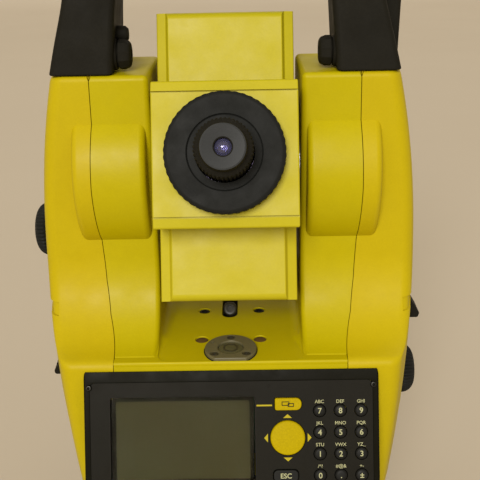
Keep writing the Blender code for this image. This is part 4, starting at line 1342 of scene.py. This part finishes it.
def telescope_housing():
    housing = flat("telescope_housing", [wing_plan()], 3 * WING_HALF_HEIGHT, TELESCOPE)
    height = WING_TOP + WING_HALF_HEIGHT
    centre = (0.0, (WING_TOP - WING_HALF_HEIGHT) / 2)
    side_view = rounded_rectangle(2 * WING_FRONT, height, WING_EDGE, centre, 8)
    envelope = flat("envelope", [side_view], 3 * SCOPE_HALF_WIDTH, at(TELESCOPE, turn=SIDE_VIEW))
    keep(housing, envelope)
    barrel_height = 2 * PLATE_HALF_HEIGHT - 9.2
    barrel_width = 2 * SCOPE_HALF_WIDTH - 0.4
    front_size = (barrel_width, BARREL_FRONT, barrel_height)
    front = block("front", front_size, (0, -BARREL_FRONT / 2, 0), TELESCOPE)
    rear_height = 2 * PLATE_HALF_HEIGHT - 4
    rear = block("rear", (barrel_width, 58, rear_height), (0, 29, 0), TELESCOPE)
    light_path = cylinder("light_path", 17, -80, 80, at(TELESCOPE, turn=FRONT))
    join(housing, soften(front, 0.8, 3), soften(rear, 2.0, 4))
    cut(housing, light_path)
    stand_for(coat(housing, "telescope_paint"), "telescope", ["telescope_housing"])


def telescope_front_plate():
    """The square cover that carries the focusing ring. A fine line crosses it above and below the ring."""
    back = WING_FRONT + 0.3
    tilt = 1.0
    upper = [(-back, PLATE_HALF_HEIGHT, 1.0), (-PLATE_FRONT + tilt, PLATE_HALF_HEIGHT, 1.2)]
    upper.append((-PLATE_FRONT, PLATE_LINE, 0))
    outline = rounded(upper + [(y, -z, radius) for y, z, radius in reversed(upper)])
    place = at(TELESCOPE, turn=SIDE_VIEW)
    plate = flat("telescope_front_plate", [outline], 2 * SCOPE_HALF_WIDTH, place)
    soften(plate, 0.7, 4, 60)
    hollow_front = BARREL_FRONT + 0.3
    hollow = block("hollow", (100, 40, 2 * PLATE_HALF_HEIGHT - 8.6), (0, 20 - hollow_front, 0), TELESCOPE)
    bore = cylinder("bore", 17, 40, 80, at(TELESCOPE, turn=FRONT))
    heights = (-PLATE_LINE, PLATE_LINE)
    lines = [block("line", (100, 3.0, 0.8), (0, -PLATE_FRONT, z), TELESCOPE) for z in heights]
    cut(plate, hollow, bore, *lines)
    stand_for(coat(plate, "telescope_paint"), "telescope", ["telescope_front_plate"])


def focus_ring():
    radius, front, back = FOCUS_RADIUS, FOCUS_FRONT, PLATE_FRONT + 0.3
    profile = [(12.9, front - 1.0), (15.9, front - 1.0), (16.3, front - 0.7), (16.5, front - 0.1)]
    profile += [(16.9, front), (radius - 2.2, front - 0.05), (radius - 1.2, front - 0.35)]
    profile += [(radius - 0.35, front - 1.2), (radius, front - 2.2), (radius, back + 3.0)]
    profile += [(radius - 0.5, back + 2.6), (radius - 0.5, back + 2.0), (radius, back + 1.6)]
    profile += [(radius, back), (16.6, back), (16.6, 48), (12.9, 48)]
    ribs = (radius - 0.2, 0.3, 48, 6)
    ring = turned("focus_ring", profile, at(TELESCOPE, turn=FRONT), ring=True, ribs=ribs)
    coat(ring, "black_rubber")
    marks = []
    for reach, start, end in ((21.6, 218, 236), (22.8, 221, 233)):
        outline = arc((0, 0), reach + 0.3, start, end, 10) + arc((0, 0), reach - 0.3, end, start, 10)
        mark = flat("focus_mark", [outline], 0.5, at(TELESCOPE, (0, -front, 0), FRONT))
        marks.append(coat(mark, "black_rubber"))
    stand_for(gather(ring, *marks), "focus_ring", ["focus_ring"])


def eyepiece():
    front = EYEPIECE_FRONT
    radius = EYEPIECE_RADIUS
    profile = [(0, front - 6), (3.6, front - 6), (3.6, front - 1.5), (4.1, front - 1.2), (8.7, front)]
    profile += [(9.3, front - 0.2), (9.6, front - 0.8), (9.9, front - 4.2), (11.6, front - 5.6)]
    profile += [(12.2, front - 6.2), (radius, front - 7.2), (radius, front - 14.0)]
    profile += [(12.0, front - 14.8), (11.4, front - 16)]
    profile += [(11.4, FOCUS_FRONT + 1.5), (12.4, FOCUS_FRONT - 0.8), (12.4, 46), (0, 46)]
    tube = turned("eyepiece", profile, at(TELESCOPE, turn=FRONT), ribs=(12.1, 0.6, 44, 6))
    coat(tube, "black_plastic")
    tube.data.materials.append(MATERIALS["eyepiece_face"])
    for face in tube.data.polygons:
        local = TELESCOPE.inverted() @ face.center / MM
        if math.hypot(local.x, local.z) < 9.2 and local.y < 0.8 - front:
            face.material_index = 1
    stand_for(tube, "eyepiece", ["eyepiece"])
    curve = [(0, front - 2.0), (1.8, front - 2.25), (3.5, front - 3.2), (3.5, front - 5.6), (0, front - 5.6)]
    lens = turned("eye_lens", curve, at(TELESCOPE, turn=FRONT), 64)
    stand_for(coat(lens, "eye_glass"), "eyepiece", ())


def objective():
    front, radius = OBJECTIVE_FRONT, OBJECTIVE_RADIUS
    profile = [(18.5, front - 0.6), (19.1, front), (radius - 1.0, front), (radius, front - 1.0)]
    profile += [(radius, front - 3.2), (radius - 0.7, front - 3.7), (radius - 0.7, front - 8.0)]
    profile += [(radius, front - 8.5), (radius, 58.3), (16.6, 58.3), (16.6, 40), (14.5, 40)]
    profile += [(14.5, 60), (18.5, 60), (18.5, 62), (18.1, 62.4)]
    profile += [(18.5, 62.8), (18.5, 64.4), (18.1, 64.8), (18.5, 65.2)]
    cell = turned("objective_cell", profile, at(TELESCOPE, turn=REAR), 144, True)
    stand_for(coat(cell, "black_plastic"), "telescope", ["objective_cell"])
    curve = [(18.0 * share, 67.4 - 4.2 * share**2) for share in (0.0, 0.2, 0.4, 0.6, 0.8, 1.0)]
    lens = turned("objective_lens", curve + [(18.0, 61), (0, 61)], at(TELESCOPE, turn=REAR), 96)
    stand_for(coat(lens, "lens_glass"), "telescope", ["objective_lens"])


def optical_sight():
    """The open sight on top: a rounded tube on a foot, with a bore through it."""
    top = WING_HALF_HEIGHT + 0.3
    foot = soften(block("optical_sight", (9, 26, 2.4), (0, 0, top + 1.2), TELESCOPE), 0.7, 3)
    tube = soften(block("tube", (6, 26, 4.2), (0, 0, top + 3.4), TELESCOPE), 1.2, 4)
    bore = block("bore", (3.4, 40, 2.0), (0, 0, top + 3.6), TELESCOPE)
    cut(join(foot, tube), bore)
    stand_for(coat(foot, "black_plastic"), "telescope", ["optical_sight"])


# The tribrach and the fixed base.

FOOT_RADIUS = 55.0
TRIBRACH_TOP = 44.0
FOOT_ANGLES = (90.0, 210.0, 330.0)


def rounded_triangle(reach, radius):
    """A triangle with rounded corners about centres at the reach, one of them to the rear."""
    points = []
    for angle in FOOT_ANGLES:
        centre = (reach * math.cos(math.radians(angle)), reach * math.sin(math.radians(angle)))
        points += arc(centre, radius, angle - 60, angle + 60, 16)
    return points


def foot_places():
    return [polar(FOOT_RADIUS, angle, (0, 0, 0)) for angle in FOOT_ANGLES]


def tribrach_base_plate():
    """The base plate and, on it, the three-armed spring plate that holds the foot screws down."""
    outlines = [rounded_triangle(FOOT_RADIUS, 17), circle(7.9)]
    plate = flat("tribrach_base_plate", outlines, 6, at(WORLD, (0, 0, 3)))
    soften(plate, 1.0, 4, 60)
    for x, y, _ in foot_places():
        well = turned("well", [(0, 7), (6.2, 7), (5.0, 5.6), (0, 5.6)], at(WORLD, (x, y, 0)), 48)
        cut(plate, well)
    stand_for(coat(plate, "cast_grey"), "tribrach", ["tribrach_base_plate"])
    outline = []
    for angle in FOOT_ANGLES:
        for swing, reach in ((-60, 20.0), (-9, 30.0), (-7, 44.0), (7, 44.0), (9, 30.0)):
            x, y, _ = polar(reach, angle + swing, (0, 0, 0))
            outline.append((x, y, 3.0))
    spring = flat("spring_plate", [rounded(outline), circle(12)], 1.0, at(WORLD, (0, 0, 6.9)))
    coat(soften(spring, 0.25, 2, 60), "steel")
    stand_for(spring, "tribrach", ())
    places = [at(WORLD, polar(36, angle, (0, 0, 7.3))) for angle in FOOT_ANGLES]
    screws_row("spring_screws", places, 2.6, "dark_steel", "tribrach")


def tribrach_body():
    reach = FOOT_RADIUS - 8
    place = at(WORLD, (0, 0, TRIBRACH_TOP - 9.5))
    body = flat("tribrach_body", [rounded_triangle(reach, 21)], 19, place)
    soften(body, 2.5, 5, 60)
    bore = cylinder("bore", 33, TRIBRACH_TOP - 14, TRIBRACH_TOP + 5)
    floor_bore = cylinder("floor_bore", 22, 20, TRIBRACH_TOP)
    cut(body, bore, floor_bore)
    for x, y, _ in foot_places():
        cut(body, cylinder("foot_bore", 4.3, 20, 39, at(WORLD, (x, y, 0)), 48))
        profile = [(0, 1.6), (7.4, 1.5), (8.4, 0.8), (8.6, -1), (0, -1)]
        join(body, turned("cap", profile, at(WORLD, (x, y, TRIBRACH_TOP)), 64))
    cut(body, cylinder("clamp_bore", 5.3, 30, 80, at(WORLD, (0, 0, TRIBRACH_TOP - 9.5), FRONT), 48))
    outlines = [rounded_triangle(reach, 23), rounded_triangle(reach, 20.2)]
    cut(body, flat("waist", outlines, 1.2, at(WORLD, (0, 0, 31))))
    stand_for(coat(body, "cast_grey", 40), "tribrach", ["tribrach_body"])
    tribrach_level()


def tribrach_level():
    """The coarse round level on the tribrach's right front side."""
    place = at(WORLD, polar(46, 322, (0, 0, TRIBRACH_TOP - 3)))
    profile = [(0, 4), (4.6, 4), (4.8, 5.6), (5.4, 6), (6.6, 5.6), (7.2, 4.6), (7.4, 0), (0, 0)]
    stand_for(coat(turned("tribrach_level", profile, place, 64), "dark_steel"), "tribrach", ())
    profile = [(0, 5.3), (2.6, 5.25), (4.5, 4.9), (4.5, 3.9), (0, 3.9)]
    glass = turned("tribrach_level_glass", profile, place, 48)
    stand_for(coat(glass, "level_fluid"), "tribrach", ())


def foot_screw(name, place):
    wheel = [(4.0, 22), (9, 22), (9.6, 21.2), (11.2, 21.2), (12.6, 21.6), (13.5, 20.6)]
    wheel += [(13.5, 11.4), (12.6, 10.2), (4.0, 10)]
    stem = [(0, 37), (3.6, 37), (4.0, 36.6)]
    foot = [(4.0, 8.4), (4.6, 7.8), (4.6, 6.8), (3.0, 6.3), (0, 6.3)]
    threads = []
    for turn in range(11):
        z = 35.6 - turn * 1.2
        threads += [(4.0, z), (3.6, z - 0.6)]
    screw = turned(name, stem + threads + wheel + foot, at(WORLD, place), ribs=(13.0, 0.9, 24, 6))
    stand_for(coat(screw, "black_rubber"), name, [name])


def tribrach_clamp_knob():
    z = joint_place("tribrach_clamp_turn").z
    upper = [(11, 4.4, 2.2), (2.5, 3.2, 1.5), (-2.5, 3.2, 1.5), (-11, 4.4, 2.2)]
    bar = upper + [(x, -y, radius) for x, y, radius in reversed(upper)]
    grip = flat("tribrach_clamp_knob", [rounded(bar)], 9, at(WORLD, (0, -56, z), FRONT))
    soften(grip, 1.4, 4, 60)
    stem = turned("stem", [(0, 54), (5.0, 54), (5.0, 35.5), (0, 35.5)], at(WORLD, (0, 0, z), FRONT), 64)
    coat(join(grip, stem), "black_plastic", 40)
    stand_for(grip, "tribrach_clamp_knob", ["tribrach_clamp_knob"])


def base_flange():
    radius = node_box("base_flange")[1].x
    profile = [(14.3, 60), (24, 60), (24, 57), (radius - 2.4, 57), (radius - 0.8, 56.2)]
    profile += [(radius, 54.4), (radius, 51.2), (radius - 0.6, 50.8), (radius - 0.6, 50.0)]
    profile += [(radius, 49.6), (radius, 45.0), (radius - 0.7, 44.3), (32.5, 44.3)]
    profile += [(32.5, 30.5), (21, 30.5), (21, 26), (14.3, 26)]
    ring = turned("base_flange", profile, WORLD, 144, True)
    stand_for(coat(ring, "cast_grey"), "tribrach", ["base_flange"])


# Inner pieces keep their CAD shape and take a finish.

INNER_FINISHES = {
    "horizontal_circle": "circle_glass",
    "vertical_circle": "circle_glass",
    "axis_spindle": "steel",
    "trunnion_left": "steel",
    "trunnion_right": "steel",
    "left_bearing": "brass",
    "right_bearing": "brass",
    "main_board": "board",
    "battery": "black_plastic",
    "display_module": "screen",
}


def finish_inner_pieces():
    for name, material in INNER_FINISHES.items():
        node = frame["nodes"][name]
        node.data.materials.clear()
        node.data.materials.append(MATERIALS[material])
        node.data.shade_smooth()
        node.data.set_sharp_from_angle(angle=math.radians(32))


# The instrument, then its surroundings.


def build_alidade():
    yoke_frame()
    shell = body_shell()
    side_cover("left_side_cover", -1, shell, BATTERY_DOOR)
    side_cover("right_side_cover", 1, shell, DATA_DOOR)
    door("battery_door", -1, shell, BATTERY_DOOR)
    door("data_door", 1, shell, DATA_DOOR)
    bpy.data.objects.remove(shell)
    drive_knob("vertical_drive_knob", "vertical_drive_turn", -1)
    drive_knob("horizontal_drive_knob", "horizontal_drive_turn", 1)
    trigger_key()
    battery_latch()
    circular_level()
    floor_fittings()
    carry_handle()
    handle_screw("handle_screw_left", -1)
    handle_screw("handle_screw_right", 1)


def build_keypad():
    keyboard_housing()
    rear_housing()
    keypad_panel()
    panel_marks()
    key_letters()
    keys()


def build_telescope():
    telescope_housing()
    telescope_front_plate()
    focus_ring()
    eyepiece()
    objective()
    optical_sight()


def build_base():
    tribrach_base_plate()
    tribrach_body()
    for index, place in enumerate(foot_places()):
        foot_screw(f"foot_screw_{index + 1}", place)
    tribrach_clamp_knob()
    base_flange()


def pale_floor():
    """A wide pale floor that curves up into a wall far behind."""
    finish = Finish("pale_floor", (0.52, 0.455, 0.365), 0.8)
    finish.tint(finish.noise(900, 3.0, contrast=(0.0, 0.5)), (0.475, 0.41, 0.323))
    finish.rough(finish.noise(200, 3.0), 0.75, 0.9)
    finish.bump(finish.noise(8, 3.0), 0.1, 0.2)
    half_width, bend, reach, rise = 6000, 1500, 4500, 4000
    curve = arc((reach - bend, bend - 0.5), bend, 270, 360, 16)
    profile = [(-5000, -0.5), *curve, (reach, rise)]
    bm = bmesh.new()
    rows = [[bm.verts.new((side * half_width, y, z)) for y, z in profile] for side in (-1, 1)]
    for index in range(len(profile) - 1):
        bm.faces.new((rows[0][index], rows[1][index], rows[1][index + 1], rows[0][index + 1]))
    floor = made("floor", bm)
    floor.data.materials.append(finish.material)
    floor.data.shade_smooth()


def soft_sun(name, strength, angle, elevation, heading):
    """A sun light that arrives from the elevation, heading away from -Y by the angle to the left."""
    data = bpy.data.lights.new(name, "SUN")
    data.energy = strength
    data.angle = math.radians(angle)
    data.color = (1.0, 0.975, 0.93)
    sun = bpy.data.objects.new(name, data)
    sun.rotation_euler = (math.radians(90 - elevation), 0, math.radians(-heading))
    bpy.context.scene.collection.objects.link(sun)


def studio_light():
    """A soft key from the front, a weak one from behind, and an even light of the wall's tint."""
    soft_sun("key", 2.5, 24, 29, 9)
    soft_sun("rear_fill", 0.7, 40, 38, 200)
    world = bpy.data.worlds.new("studio")
    world.use_nodes = True
    world.node_tree.nodes["Background"].inputs["Color"].default_value = (0.56, 0.49, 0.37, 1.0)
    world.node_tree.nodes["Background"].inputs["Strength"].default_value = 1.0
    bpy.context.scene.world = world


def camera():
    """Looks down on the keypad side along the telescope's axis, from a little right of the middle."""
    data = bpy.data.cameras.new("camera")
    data.sensor_width = 36.0
    data.lens = 60.0
    eye = bpy.data.objects.new("camera", data)
    eye.location = CAMERA_PLACE
    yaw = Matrix.Rotation(math.radians(CAMERA_YAW), 4, "Z")
    pitch = Matrix.Rotation(math.radians(90 - CAMERA_PITCH), 4, "X")
    roll = Matrix.Rotation(math.radians(CAMERA_ROLL), 4, "Z")
    eye.rotation_euler = (yaw @ pitch @ roll).to_euler()
    bpy.context.scene.collection.objects.link(eye)
    bpy.context.scene.camera = eye


finish_inner_pieces()
build_base()
build_alidade()
build_keypad()
build_telescope()
pale_floor()
studio_light()
camera()
bpy.context.scene.view_settings.view_transform = "Standard"
